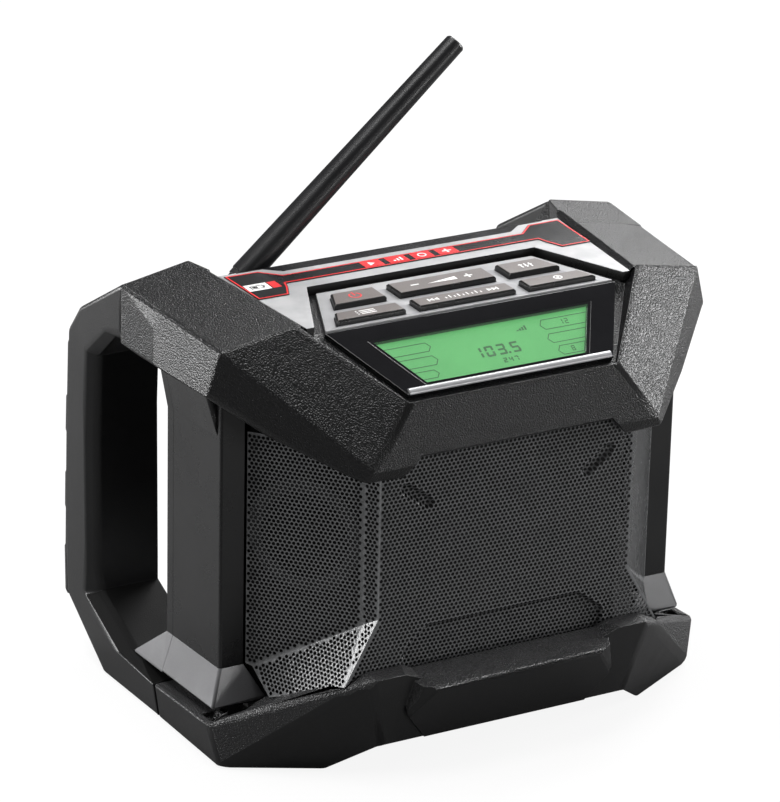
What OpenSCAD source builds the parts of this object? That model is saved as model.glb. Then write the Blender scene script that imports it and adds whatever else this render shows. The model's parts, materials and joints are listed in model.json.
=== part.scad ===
// Jobsite radio: a faceted hood with a sloping display over a bay of perforated
// grille, a rubber bumper round the foot and a carrying loop behind each side.
// Millimetres, +Z up, front towards -Y, origin on the ground under the middle.
// Depths are written as distances behind the lip of the front bumper.

/* [Overall] */
// Width over the two carrying loops
width = 277; // [270:1:290]
// Depth from the bumper's lip to the back of the loops
depth = 226; // [222:1:236]
// Height of the shoulders' inner ridges
height = 223.4; // [218:0.2:232]

/* [Body] */
// Width over the smooth side panels
body_w = 254.6; // [250:0.2:258]
// Lip to the front edge of the side panels
body_front = 71.5; // [70:0.5:74]
// Lip to the seam between the front and rear mouldings
seam = 122; // [118:1:124]
// Lip to the back edge of the side panels
body_back = 129.5; // [128:0.5:132]
// Wall of the mouldings
wall = 3; // [2.4:0.2:3.4]
// Gap left where mouldings of one body pass each other
fit = 0.3; // [0.2:0.05:0.4]
// Height of the skirt's upper edge at the front corners
skirt_top = 46; // [44:1:48]
// Height of the skirt's lower edge at the front corners
skirt_low = 27; // [26:1:28]
// How far the skirt flares out on each side
skirt_flare = 6.2; // [4:0.2:6.6]

/* [Hood] */
// Lip to the tip of the visor
visor_tip = 10; // [8:0.5:12]
// Height of the visor's tips
visor_z = 163.5; // [160:0.5:168]
// Distance between the visor's two tips
visor_w = 156; // [150:1:162]
// Lip to the front ridge of the shoulders
shoulder_front = 64; // [62:0.5:66]
// Lip to the back edge of the shoulders
shoulder_back = 157.5; // [155:0.5:160]
// Drop from the shoulders' inner ridge to their outer edge
shoulder_drop = 6.5; // [5:0.5:8]
// Distance between the inner ridges at the back
ridge_w = 205.6; // [202:0.2:208]
// Height of the band that runs under the shoulders to the loops
band_h = 31; // [28:1:33]

/* [Console] */
// Depth of the silver deck below the ridges
deck_drop = 5.6; // [5:0.2:6]
// Lip to the crease between deck and display
crease = 58; // [57:0.5:59]
// Slope of the display, in degrees
display_tilt = 28.5; // [27:0.5:30]
// Length of the display's face down the slope
display_l = 46; // [44:0.5:47]
// Lip to the back edge of the deck
deck_back = 138.5; // [137:0.5:140]
// Height of the key tops over the deck
key_h = 2.7; // [2:0.1:3.2]
// Travel of a key
key_travel = 1; // [0.6:0.1:1.1]
// Gap round a key in its slot
key_gap = 0.35; // [0.3:0.05:0.5]
// Depth of the silver surround below the ridges
surround_drop = 2.6; // [1.8:0.2:2.8]
// Tilt of a rocker key to either side, in degrees
rocker_tilt = 2; // [1:0.5:2]

/* [Grille] */
// Width of the flat middle of the grille
grille_w = 139.6; // [136:0.2:142]
// Lip to the flat middle of the grille
grille_front = 18; // [17:0.5:19]
// Thickness of the pressed grille
grille_t = 1.6; // [1:0.2:2]
// Width of the smooth strip between the grille and the side panel
front_strip = 13.3; // [12:0.1:14]
// Gap between the grille and the board that carries the speakers
grille_gap = 6; // [5:0.5:8]
// Diameter of a speaker's frame
speaker_d = 58; // [54:1:60]
// Height of the speakers' centres
speaker_z = 118; // [112:1:122]

/* [Bumper] */
// Height of the bumper's lip
lip_z = 50; // [48:1:52]
// Height of the front arch between the feet
arch_h = 17; // [14:1:18]
// Height of the bumper's ridge at its corners
ridge_z = 23; // [21:0.5:24]
// How far the bumper's foot draws in below its ridge
foot_in = 4.8; // [3:0.2:6]

/* [Loops] */
// Width of a loop's bar, side to side
bar_w = 38.5; // [36:0.5:40]
// Depth of the upright bar with its grip, front to back
bar_depth = 31; // [29:0.5:33]
// Edge taken off round the loop's opening
bar_chamfer = 5; // [3:0.5:6]
// How far the upright bar leans forward at its top
bar_lean = 5.7; // [4:0.1:7]
// Thickness of the grip on the back of the bar
grip_t = 2; // [1.5:0.25:2.5]
// Height of the grip's pads over the grip
rib_h = 1; // [0.6:0.1:1.4]
// Length of one pad of the grip
rib_l = 18.6; // [16:0.2:20]
// Distance from one pad to the next
rib_pitch = 42.3; // [40:0.1:44]

/* [Antenna] */
// Length of the antenna from its hinge to its tip
antenna_l = 168; // [150:1:170]
// Diameter of the antenna near its foot
antenna_d = 14; // [12:0.5:14.5]
// Diameter of the antenna's tip
antenna_tip_d = 10.4; // [8:0.2:11]
// Angle of the antenna above the ground as it stands
antenna_angle = 41.7; // [30:0.1:60]
// Diameter of the hinge pin
hinge_pin_d = 4; // [3:0.5:5]
// Radial play of a pin in its bore
pin_play = 0.05; // [0.03:0.01:0.1]

/* [Back] */
// Width of the block that carries the battery dock
dock_w = 150; // [140:1:160]
// Distance between the dock's two rails
rail_gap = 62; // [56:1:66]
// Height of the dock's stop above the ground
dock_stop = 38; // [34:1:42]
// Length of the dock's rails
rail_l = 108; // [96:1:112]
// Bore of the audio input socket
aux_bore = 3.6; // [3.5:0.05:3.7]
// Bore of the power input socket
dc_bore = 5.6; // [5.5:0.1:6.5]
// Width of the rubber cover over the sockets
cover_w = 26; // [24:1:28]
// Height of the rubber cover over the sockets
cover_h = 50; // [46:1:54]

/* [Hidden] */
$fn = 48;

grain_black = [0.17, 0.17, 0.18];
smooth_black = [0.12, 0.12, 0.13];
silver = [0.72, 0.72, 0.72];
key_grey = [0.33, 0.31, 0.30];
eps = 0.01;

// ---------- shared tools

// A corner given by its place across, its distance behind the lip and its height
function at(x, d, z) = [x, d - depth / 2, z];
// A list of corners and its mirror image on the other side
function both(points) = concat(points, [for (p = points) [-p.x, p.y, p.z]]);
function mirrored(points) = [for (p = points) [-p.x, p.y, p.z]];
function moved(points, by) = [for (p = points) p + by];
// The point at share t of the way from a to b
function between(a, b, t) = a + (b - a) * t;

// The tightest solid with flat faces round a list of corners
module facets(points) hull() polyhedron(points, faces = [[for (i = [0 : len(points) - 1]) i]]);

// Everything in front of, or behind, a distance from the lip
module front_of(d) translate([-width, -depth, -1]) cube([2 * width, depth / 2 + d, 2 * height]);
module behind(d) translate([-width, d - depth / 2, -1]) cube([2 * width, depth, 2 * height]);

// A plate of an outline given in widths and depths, between two heights
module plate(outline, z0, z1) translate([0, -depth / 2, z0]) linear_extrude(z1 - z0) polygon(outline);
function both2(outline) = concat(outline, [for (i = [len(outline) - 1 : -1 : 0]) [-outline[i].x, outline[i].y]]);

half_w = width / 2;
half_body = body_w / 2;
bar_in = half_w - bar_w;      // inner side of the loops

// ---------- body corners

skirt_back = 157;             // lip to the back tip of the skirt
skirt_rear_low = 20.4;        // height of the skirt's lower edge at the back
skirt_rear_top = 42;          // height of the skirt's upper edge at the back
grille_edge = half_body - front_strip;
half_grille = grille_w / 2;
visor_notch = 9.5;            // how far the visor's middle is raised above its teeth
grille_top = visor_z + 5;     // top edge of the grille, up inside the visor
body_top = height - 23.4;      // height of the housing inside the hood
floor_z = arch_h;             // height of the underside of the base pan
pan_top = floor_z + wall;

// The box behind the side panels, grown by c
module column(c = 0, z0 = skirt_rear_top)
    translate([-half_body - c, body_front - c - depth / 2, z0])
        cube([body_w + 2 * c, body_back - body_front + 2 * c, body_top - z0 + c]);

// The flared skirt round the foot of the column, grown by c
module skirt(c = 0) facets(both([
    at(half_body + c, body_front - c, skirt_top), at(half_body + c, body_back + c, skirt_rear_top),
    at(half_body + skirt_flare + c, body_front - 4.5 - c, skirt_low - c),
    at(half_body + skirt_flare + c, skirt_back - 2 + c, skirt_rear_low + 1 - c),
    at(grille_edge, body_front - c, skirt_top), at(grille_edge - 3, body_front - 11 - c, skirt_low + 6),
    at(grille_edge - 6, body_front - 10 - c, skirt_low - c)]));

// The housing widens under the hood, grown by c
flare_w = 5.5;
flare_h = 24;                 // height of the flare at the back, and how much lower it starts in front
flare_rise = 5;
flare_set = [2, 6];           // side panel's front edge to the flare's, at its foot and at its top
module flare(c = 0) {
    foot = band_low - flare_h;
    top = band_low + flare_rise;
    facets(both([for (x = [half_body - 8, half_body]) each [at(x + c, body_front + flare_set[0] - c, foot + flare_rise - c),
        at(x + c, body_back + c, foot - c), at(x + c + (x < half_body ? 0 : flare_w), body_front + flare_set[1] - c, top + c),
        at(x + c + (x < half_body ? 0 : flare_w), body_back + c, top + c)]]));
}

// ---------- hood

ridge_front_w = 190.2;        // distance between the inner ridges at the front
ridge_front = shoulder_front - 4;
ridge_back_half = ridge_w / 2;
tip_half = visor_w / 2;
brow_half = 57.5;             // half the width of the lower edge of the display's rim
brow_z = height - 30.4;
shoulder_low = height - shoulder_drop;
band_low = shoulder_low - band_h;
deck_z = height - deck_drop;
surround_z = height - surround_drop;
plate_t = 2;                  // thickness of the key plate
deck_floor = deck_z - plate_t;
roof_t = 8.5;                 // thickness of the hood's roof under the deck
cavity_top = deck_floor - roof_t;
hood_low = visor_z - 6.5;

hood_corners = [
    at(ridge_back_half, shoulder_back, height),
    at(half_w, shoulder_back, shoulder_low),
    at(half_w, shoulder_back, band_low),
    at(half_w - 6.4, shoulder_front, shoulder_low - 2.9),
    at(half_w - 0.6, shoulder_front + 1, shoulder_low - 25),
    at(half_w - 24.5, shoulder_front - 22, visor_z + 10.9),
    at(tip_half, visor_tip, visor_z),
    at(tip_half + 4, visor_tip + 2.5, visor_z - 6),
    at(tip_half - 15.5, visor_tip + 2, hood_low),
    at(brow_half, visor_tip + 5, brow_z),
    at(ridge_front_w / 2, ridge_front, height - 0.8)];

// Turns the plane of the drawing into the display's face: x across, y up the slope
module on_slope() translate(at(0, crease, deck_z)) rotate([display_tilt, 0, 0]) children();

bezel_t = 3;
brow_s = 49.6;                // from the crease down the slope to the lower edge of the rim
rim_gap = 1.2;                // dark gap between the bezel and its recess
bezel_outline = both2([[80, -rim_gap], [56, 0.6 - display_l]]);
window_outline = both2([[61.5, -10], [44.5, 4.5 - display_l]]);
lcd_outline = both2([[66, -7], [47, 3.5 - display_l]]);
lcd_t = 4;

plate_back = 104;             // lip to the back edge of the key plate
channel_w = 3;                // width of the black channel behind the key plate
key_bay_depth = 5.8;          // depth of the pocket for the board under the key plate
key_bay = both2([[57, plate_back - 3.5], [75, crease + 1.5]]);

// Half the distance between the inner ridges at a distance behind the lip
function ridge_half(d) = ridge_front_w / 2
    + (ridge_back_half - ridge_front_w / 2) * (d - ridge_front) / (shoulder_back - ridge_front);
rim_w = 0.8;                  // width of the rounded rim round the console
frame_drop = 5.8;             // from the ridges in to the silver surround
function frame_half(d) = ridge_half(d) - frame_drop;
function rim_half(d) = ridge_half(d) - rim_w;

// The recess for the silver deck and the display, with walls that slope down from the ridges
module console_recess() {
    back = deck_back + 4;
    plate(both2([[frame_half(back) + fit, back], [frame_half(crease) + fit, crease]]), deck_floor, surround_z + eps);
    facets(both([for (d = [crease, back]) each [at(frame_half(d) + fit, d, surround_z), at(rim_half(d), d, height + 1)]]));
    on_slope() facets(both([[frame_half(crease), 3, -bezel_t], [56 + rim_gap, -display_l - rim_gap, -bezel_t],
        [rim_half(crease) - 0.5, 3, 5], [brow_half - rim_w, rim_w - brow_s, -rim_w]]));
    plate(key_bay, deck_floor - key_bay_depth, deck_floor + 1);
    on_slope() translate([0, 0, -bezel_t - lcd_t]) linear_extrude(lcd_t + 1) offset(delta = fit) polygon(lcd_outline);
    // a slot for the ribbon cables that go down to the amplifier
    translate(at(-20, 64, cavity_top - 1)) cube([40, 5, roof_t]);
}

// The trough behind the deck in which the antenna lies when folded
trough_half = 93;
trough_z = height - 27.4;
trough_edge = height - 11.4;
trough_front = deck_back + 1.5;
module antenna_trough() {
    facets(both([at(ridge_back_half - 5, trough_front, height + 1), at(ridge_back_half - 0.4, shoulder_back + 1, height + 1),
        at(trough_half, trough_front, trough_edge), at(trough_half, shoulder_back + 1, trough_edge)]));
    translate(at(-trough_half, trough_front, trough_z))
        cube([2 * trough_half, depth, trough_edge - trough_z + eps]);
}

// What the housing, the grille and the boards take up inside the hood
module hood_inside() {
    column(fit, hood_low - 10);
    flare(fit);
    plate(both2([[grille_edge + 1, body_front + 3], [grille_edge + 1, body_front + 1], [half_grille + 6, grille_front + 3],
        [half_grille + 2, grille_front - fit]]), hood_low - 10, grille_top + fit);
    facets(both([at(half_body - 10, body_front + 10, cavity_top - 4), at(half_body - 10, trough_front - 4, cavity_top - 12),
        at(half_grille - 14, grille_front + 22, grille_top), at(half_body - 4, body_front + 4, grille_top - 20),
        at(half_body - 10, trough_front - 4, grille_top - 20), at(half_grille - 14, grille_front + 16, grille_top - 20),
        at(76, crease + 10, cavity_top), at(76, trough_front - 4, cavity_top)]));
}

// The raised middle of the visor's lower edge
module visor_gap() facets(both([at(tip_half - 25, visor_tip - 3, hood_low + visor_notch),
    at(tip_half - 25, grille_front + 3, hood_low + visor_notch), at(tip_half - 15, visor_tip - 3, hood_low - 1),
    at(tip_half - 15, grille_front + 3, hood_low - 1)]));

// The groove along the shoulders' outer edge
groove = 1.3;                 // half its width
module shoulder_groove() {
    ends = [hood_corners[1] + [0, 2, 0], hood_corners[3] + [0, 1.5, 0]];
    facets([for (p = ends, o = [[groove, 0], [-groove, 0], [0, groove], [0, -groove]]) p + [o.x, 0, o.y]]);
}

module hood() difference() {
    facets(both(hood_corners));
    shoulder_groove();
    mirror([1, 0, 0]) shoulder_groove();
    hood_inside();
    visor_gap();
    console_recess();
    antenna_trough();
    // level underside behind the housing
    translate([-half_w - 1, body_back + 1 - depth / 2, band_low - 12]) cube([width + 2, depth, 12]);
}

module front_hood() color(grain_black) intersection() {
    hood();
    front_of(seam);
}

module rear_hood() color(grain_black) intersection() {
    hood();
    behind(seam);
}

// ---------- housing

cavity_half = half_body - wall;
block_half = dock_w / 2;
dock_face = shoulder_back - 0.5;
block_top = band_low - fit;

module housing() difference() {
    union() {
        column();
        skirt();
        flare();
    }
    translate(at(-cavity_half, body_front + wall, 0))
        cube([2 * cavity_half, body_back - body_front - 2 * wall, body_top - wall]);
    translate(at(-grille_edge, body_front - 30, 0)) cube([2 * grille_edge, 31 + wall, body_top - 12]);
}

module front_housing() color(smooth_black) intersection() {
    housing();
    front_of(seam);
}

// Screws from behind: across, lip to the face under the head, height
screw_in = 9;                 // from a moulding's side to a screw
screw_spots = [[cavity_half - screw_in + 3, body_back, speaker_z + 2],
    [cavity_half - screw_in + 3, body_back, band_low - 2 * screw_in],
    [block_half - screw_in, dock_face, pan_top + screw_in], [block_half - screw_in, dock_face, block_top - screw_in - 1]];
screw_d = 3.4;
screw_head_d = 7;
screw_head_h = 2.4;

socket_x = 101;
aux_z = 84;
dc_z = 64;
aux_body = 9;                 // diameter of the audio socket's body
dc_body = 12;
socket_flange = 1;
cover_t = 2.4;
cover_top = aux_z + 14;       // height of the axis of the cover's hinge
cover_axis = body_back + socket_flange + fit + cover_t / 2 + 1;
cover_pin_d = 2.4;
ear_w = 3;
ear_half = cover_w / 2;

// One place on the rear wall by the sockets, looking along the depth
module at_socket(z) translate(at(socket_x, body_back, z)) rotate([-90, 0, 0]) children();

module screw_holes() for (s = [-1, 1], p = screw_spots) translate(at(s * p.x, p.y, p.z)) rotate([90, 0, 0])
    cylinder(d = screw_d, h = 2 * wall + 2, center = true);

// The hole for the leads from the battery contacts
cable_d = 9;
module cable_hole() translate(at(0, seam, contact_z + 6)) rotate([-90, 0, 0])
    cylinder(d = cable_d, h = dock_face - seam + 1);

module cover_ear(x) difference() {
    union() {
        translate(at(x, body_back, cover_top - 2.4)) cube([ear_w, cover_axis - body_back, 4.8]);
        translate(at(x, cover_axis, cover_top)) rotate([0, 90, 0]) cylinder(d = 4.8, h = ear_w);
    }
    translate(at(x - 1, cover_axis, cover_top)) rotate([0, 90, 0]) cylinder(d = cover_pin_d, h = ear_w + 2);
}

module rear_housing() color(smooth_black) difference() {
    union() {
        intersection() {
            housing();
            behind(seam);
        }
        cover_ear(socket_x - ear_half);
        cover_ear(socket_x + ear_half - ear_w);
    }
    // room for the moulding that carries the battery
    translate(at(-block_half - fit, body_back, 0)) cube([dock_w + 2 * fit, depth, skirt_top]);
    screw_holes();
    cable_hole();
    at_socket(aux_z) cylinder(d = aux_body, h = 3 * wall, center = true);
    at_socket(dc_z) cylinder(d = dc_body, h = 3 * wall, center = true);
}

// The moulding that carries the battery, screwed to the back of the housing
module dock_housing() color(smooth_black) difference() {
    translate(at(-block_half, body_back, pan_top)) cube([dock_w, dock_face - body_back, block_top - pan_top]);
    translate(at(-block_half + wall, body_back - 1, pan_top + wall))
        cube([dock_w - 2 * wall, dock_face - body_back + 1 - wall, block_top - pan_top - 2 * wall]);
    screw_holes();
    cable_hole();
}

// The outline inside the bumper, drawn in by c
function bay_plan(c) = both2([[cavity_half - c, seam], [cavity_half - c, body_front - 4 + c],
    [grille_edge - 8 - c, body_front - 12 + c], [half_grille + 14 - c, grille_front + 9 + c],
    [half_grille - c, grille_front + 3 + c]]);

board_l = 110;
board_w = 44;
board_d = 76;                 // lip to the front edge of the amplifier board
boss_h = 4;
board_t = 1.6;

module base_pan() color(smooth_black) {
    plate(bay_plan(fit), floor_z, pan_top);
    plate(both2([[bar_in - fit, dock_face], [bar_in - fit, seam]]), floor_z, pan_top);
    for (x = [-1, 1], d = [board_d + 5, board_d + board_w - 5])
        translate(at(x * (board_l / 2 - 5), d, pan_top)) cylinder(d = 6, h = boss_h);
}

module amplifier_board() color([0.10, 0.35, 0.18]) {
    z = pan_top + boss_h;
    translate(at(-board_l / 2, board_d, z)) cube([board_l, board_w, board_t]);
    translate(at(-18, board_d + board_w - 12, z + board_t)) cube([36, 8, 20]);
    for (x = [-42 : 14 : -28]) translate(at(x, board_d + 14, z + board_t)) cylinder(d = 10, h = 14);
    translate(at(24, board_d + 8, z + board_t)) cube([24, 14, 9]);
}

// ---------- bumper

foot_front = 34;              // lip to the front edge of the feet
foot_half = 89;
corner_d = 57.5;              // lip to the bumper's corners
seam_z = 18.3;                // height of the ridge at the seam
seam_in = 2.9;                // how far the foot draws in at the seam
ridge_end = at(half_grille + 6.7, grille_front, lip_z + 7);       // where the ridge meets the grille
ridge_corner = at(half_w, corner_d + 4, ridge_z);
grille_foot = at(grille_edge - 6, body_front - 15.5, skirt_low + 6.5);
rail_top = seam_z + 0.6;

// Everything above three corners and the fourth that completes them
module above(a, b, c) {
    d = a + c - b;
    facets(concat([a, b, c, d], moved([a, b, c, d], [0, 0, 80])));
}

// What the sloping top of the bumper leaves free: over the gutter behind the ridge, then over the sides
module bumper_top() {
    above(ridge_corner + (ridge_corner - ridge_end) * 0.02, ridge_end - [0, 0, eps],
        ridge_end + (grille_foot - ridge_corner) * 1.5);
    above(at(half_w + 1, seam + 1, seam_z), at(half_w + 1, corner_d + 4, ridge_z), at(bar_in - 5, corner_d + 4, ridge_z));
}

// The gutter that parts the ridge from the skirt
gutter_step = [-2.9, 4.1, -6];               // from the ridge to the gutter's front edge
module gutter() {
    edge = moved([for (share = [0.52, 0.97]) between(ridge_end, ridge_corner, share)], gutter_step);
    foot = concat(edge, [for (p = edge) [p.x, body_front + 4 - depth / 2, p.z]]);
    facets(concat(foot, moved(foot, [0, 0, lip_z])));
}

// The raised lip in front of the flat middle of the grille
lip_half = 45;
lip_end = 52.5;
module lip() facets(both([at(lip_half, 0, lip_z), at(lip_end, 4, lip_z), at(lip_end - 0.5, grille_front, lip_z + 4.8),
    at(lip_end + 5.5, grille_front, lip_z + 4), at(lip_end + 5, 9, arch_h + 16), at(lip_half, 14, arch_h),
    at(lip_half, grille_front, arch_h)]));

// The hollow over the middle of the bumper, behind the lip
scoop_rise = 5.3;             // from the lip up to the grille
module scoop() facets(both([at(lip_half + 5, -2, lip_z - 0.5), at(lip_half + 7.2, grille_front + 2, lip_z + scoop_rise),
    at(lip_half + 25, -2, lip_z + 9.5), at(lip_half + 19, grille_front + 2, lip_z + 10.6),
    at(lip_half + 25, -2, 2 * lip_z), at(lip_half + 19, grille_front + 2, 2 * lip_z)]));

// The clear space between the feet
arch_half = foot_half - 21;
module arch() translate([0, -depth, 0]) rotate([-90, 0, 0]) linear_extrude(2 * depth)
    polygon([[arch_half, -arch_h], [-arch_half, -arch_h], [-foot_half - 1.25, 1], [foot_half + 1.25, 1]]);

module front_bumper() color(smooth_black) difference() {
    union() {
        intersection() {
            facets(both([at(half_w - foot_in, corner_d, 0), ridge_corner, at(foot_half, foot_front, 0),
                at(arch_half, 15, arch_h), at(ridge_end.x + 1.1, 8, lip_z + 6.3), ridge_end,
                at(half_w - seam_in, seam, 0), at(half_w, seam, seam_z), at(half_w - 5, seam, rail_top)]));
            front_of(seam);
        }
        lip();
    }
    skirt(fit);
    plate(bay_plan(0), floor_z - fit, 2 * lip_z);
    scoop();
    arch();
    // behind the grille
    facets(both([at(fold_half, grille_front - fit, fold_low), at(spread.x, grille_front - fit, spread.y - fit),
        grille_foot - [0, fit, fit], at(rim_side.x + 1, rim_side.y - 5, skirt_top),
        at(fold_half, corner_d, fold_low), at(spread.x, corner_d, spread.y - fit),
        grille_foot + [0, 20, -fit], at(rim_side.x + 1, body_front + 2, skirt_top)]));
    for (side = [0, 1]) mirror([side, 0, 0]) {
        bumper_top();
        gutter();
    }
}

// ---------- loops

bar_front = depth - bar_depth;
back_face = depth - rib_h - grip_t;   // lip to the back of the bar under its grip

// A cut across a loop from its outer edge to its opening, with the edge of the opening taken off
function cut(out, inn, c = bar_chamfer, lift = 0) = [
    at(half_w, out.x, out.y), at(bar_in, out.x, out.y + lift),
    at(bar_in, inn.x, inn.y), at(half_w - c, inn.x, inn.y),
    at(half_w, inn.x + (out.x - inn.x) * c / norm(out - inn), inn.y + (out.y - inn.y) * c / norm(out - inn))];

back_top = [back_face - bar_lean, shoulder_low - 41.6];
back_mid = [back_face - 0.44 * bar_lean, 116];
back_low = [back_face, 44];
back_foot = [back_face - 0.9, 25.5];
loop_cuts = [
    cut([shoulder_back, shoulder_low], [shoulder_back, band_low], lift = shoulder_drop),
    cut([back_face - 16, shoulder_low - 29.3], [shoulder_back + 13, band_low], lift = shoulder_drop),
    cut(back_top, [bar_front - 2, band_low - 19.5]),
    cut(back_mid, [bar_front + 0.5, 120]),
    cut(back_low, [bar_front - 0.6, 50]),
    cut(back_foot, [bar_front - 0.6, 37.7], c = 7),
    cut([back_face - 42, 0], [bar_front - 39, skirt_rear_low + 2.8], c = 7),
    [at(half_w - seam_in, seam, 0), at(half_w, seam, seam_z), at(half_w - 5, seam, rail_top),
        at(bar_in, seam, rail_top), at(bar_in, seam, 0)]];

module loop() color(smooth_black) difference() {
    union() for (i = [0 : len(loop_cuts) - 2]) facets(concat(loop_cuts[i], loop_cuts[i + 1]));
    skirt(fit);
    translate(at(0, seam - 1, floor_z - fit)) cube([bar_in + fit, depth, wall + 2 * fit]);
}
module side_loop_left() mirror([1, 0, 0]) loop();
module side_loop_right() loop();

// Lip to the back of the upright bar at height z
function back_at(z) = lookup(z, [for (p = [back_foot, back_low, back_mid, back_top]) [p.y, p.x]]);
grip_low = back_foot.y;
grip_high = shoulder_low - 49;
rib_first = 74.2;             // height of the lower end of the first short pad
// The lower and upper ends of each pad: a long one at the foot, two on the bar
pads = [[grip_low + 2, grip_low + 26], [rib_first, rib_first + rib_l],
    [rib_first + rib_pitch, rib_first + rib_pitch + rib_l]];

// The grip's outline on the back of the bar, with its pads
grip_line = concat(
    [[back_at(grip_low), grip_low]],
    [for (pad = pads, k = [0 : 3]) let (z = [pad[0] - 1, pad[0], pad[1], pad[1] + 1][k])
        [back_at(z) + grip_t + [0, rib_h, rib_h, 0][k], z]],
    [[back_at(grip_high - 3) + grip_t, grip_high - 3], [back_at(grip_high), grip_high],
        back_mid, back_low]);

module grip() color([0.09, 0.09, 0.10]) translate([bar_in + 3, -depth / 2, 0])
    rotate([90, 0, 90]) linear_extrude(bar_w - 3.5) polygon(grip_line);
module grip_left() mirror([1, 0, 0]) grip();
module grip_right() grip();

// ---------- grille

fold_half = half_grille;      // folds beside the flat middle
deep = [74.4, grille_front + 7.4];         // bottom of the side folds: across, behind the lip
rim_side = [grille_edge - fit, body_front - 1.2];
fold_low = 83;                // height at which the middle starts to spread
spread = [88, 50];            // lower corners of the middle: across, height

// Corners of the right half of the folded sheet, on its front face
side_low = between([deep.x, deep.y], rim_side, 0.94);
half_sheet = [
    at(fold_half, grille_front, grille_top), at(fold_half, grille_front, fold_low),
    at(spread.x, grille_front, spread.y), at(fold_half, grille_front, spread.y),
    at(deep.x, deep.y, grille_top), at(deep.x, deep.y, fold_low - 5),
    at(rim_side.x, rim_side.y, grille_top), at(rim_side.x, rim_side.y, skirt_top + 1),
    at(side_low.x, side_low.y, skirt_top), grille_foot];
// The rim of the right half from the top of the middle round to its foot
half_rim = [0, 4, 6, 7, 8, 9, 2, 3];
half_panels = [[0, 4, 5], [0, 5, 1], [4, 6, 7], [4, 7, 8], [4, 8, 5], [1, 5, 2], [5, 9, 2], [5, 8, 9],
    [1, 2, 3]];
other = len(half_sheet);      // step to a corner's mirror image
middle_panels = [[0, 1, 1 + other], [0, 1 + other, other], [1, 3, 3 + other], [1, 3 + other, 1 + other]];
sheet = both(half_sheet);
sheet_panels = concat(half_panels, middle_panels, [for (f = half_panels) [for (i = [2 : -1 : 0]) f[i] + other]]);
sheet_rim = concat(half_rim, [for (i = [len(half_rim) - 1 : -1 : 0]) half_rim[i] + other]);

// The pressed sheet, folded back beside the flat middle and forward again at the foot
module grille() color([0.20, 0.20, 0.21]) polyhedron(
    concat(sheet, moved(sheet, [0, grille_t, 0])),
    concat(
        [for (f = sheet_panels) [f[0], f[1], f[2]]],
        [for (f = sheet_panels) [for (i = [2 : -1 : 0]) f[i] + len(sheet)]],
        [for (i = [0 : len(sheet_rim) - 1])
            let (a = sheet_rim[i], b = sheet_rim[(i + 1) % len(sheet_rim)])
                each [[b, a, a + len(sheet)], [b, a + len(sheet), b + len(sheet)]]]));

// ---------- speakers

baffle_t = 4;
baffle_d = grille_front + grille_t + grille_gap;      // lip to the board behind the flat middle
baffle_end = [grille_edge - 4, body_front + 3];
baffle_turn = [66.9, baffle_d];
speaker_turn = atan2(baffle_end.y - baffle_turn.y, baffle_end.x - baffle_turn.x);
speaker_spot = between(baffle_turn, baffle_end, 0.56);

// Turns +Z into the way the right-hand speaker faces
module at_speaker() translate(at(speaker_spot.x, speaker_spot.y, speaker_z)) rotate([0, 0, speaker_turn])
    rotate([90, 0, 0]) children();

cone_d = speaker_d - 10;
module speaker_baffle() color([0.13, 0.13, 0.13]) difference() {
    plate(concat(both2([baffle_end, baffle_turn]), both2([[-baffle_end.x, baffle_end.y + 1.5 * baffle_t],
        [-baffle_turn.x, baffle_d + baffle_t]])), pan_top, grille_top);
    for (s = [0, 1]) mirror([s, 0, 0]) at_speaker() cylinder(d = cone_d + 1, h = 30, center = true);
}

magnet_d = 32;
speaker_deep = 26;
cone_r = cone_d / 2;
magnet_r = magnet_d / 2;
speaker_rim = 1.6;

module speaker() color([0.25, 0.25, 0.26]) at_speaker() rotate_extrude() polygon([
    [0, -speaker_deep], [magnet_r, -speaker_deep], [magnet_r, -16], [cone_r, -4], [cone_r, 0],
    [speaker_d / 2, 0], [speaker_d / 2, speaker_rim], [cone_r - 2, speaker_rim], [cone_r - 2, -4],
    [magnet_r - 1.5, -14.5], [0, -14.5]]);
module speaker_left() mirror([1, 0, 0]) speaker();
module speaker_right() speaker();

// The paper cone with its roll surround and dust cap
module cone() color([0.09, 0.09, 0.09]) at_speaker() rotate_extrude() polygon([
    [0, -7], [4, -7.4], [7.5, -9.4], [cone_r - 5, -1.4], [cone_r - 4.4, 0.6], [cone_r - 3.2, 1.2],
    [cone_r - 2, 0.6], [cone_r - 2, -0.6], [cone_r - 3.4, -0.2], [cone_r - 4.6, -2.4], [8, -11], [0, -11]]);
module cone_left() mirror([1, 0, 0]) cone();
module cone_right() cone();

// ---------- console

plate_outline = [[60, plate_back], [79, crease + 0.6]];
channel_outline = [[63.5, plate_back + channel_w], [85.3, crease]];

module deck_frame() color(silver) difference() {
    plate(both2([[frame_half(deck_back), deck_back], [frame_half(crease), crease + 0.6]]), deck_floor, surround_z);
    plate(both2(concat(channel_outline, [[channel_outline[1].x, crease - 5]])), deck_floor - 1, surround_z + 1);
}

label_t = 0.5;
module label_strip() color([0.08, 0.08, 0.09])
    plate(both2([[67, deck_back - 13.1], [76, deck_back - 4], [94, deck_back - 3.5], [92.5, plate_back - 3],
        [76, plate_back - 3], [72, plate_back + 6], [70.5, plate_back + 11]]), surround_z, surround_z + label_t);

key_top = deck_z + key_h;
flange_t = 1.2;
flange_w = 1;
flange_top = deck_floor - fit;
flange_low = flange_top - flange_t;
mat_top = flange_low - key_travel - fit;
mat_t = 1.2;
mat_z = mat_top - mat_t;

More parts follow.
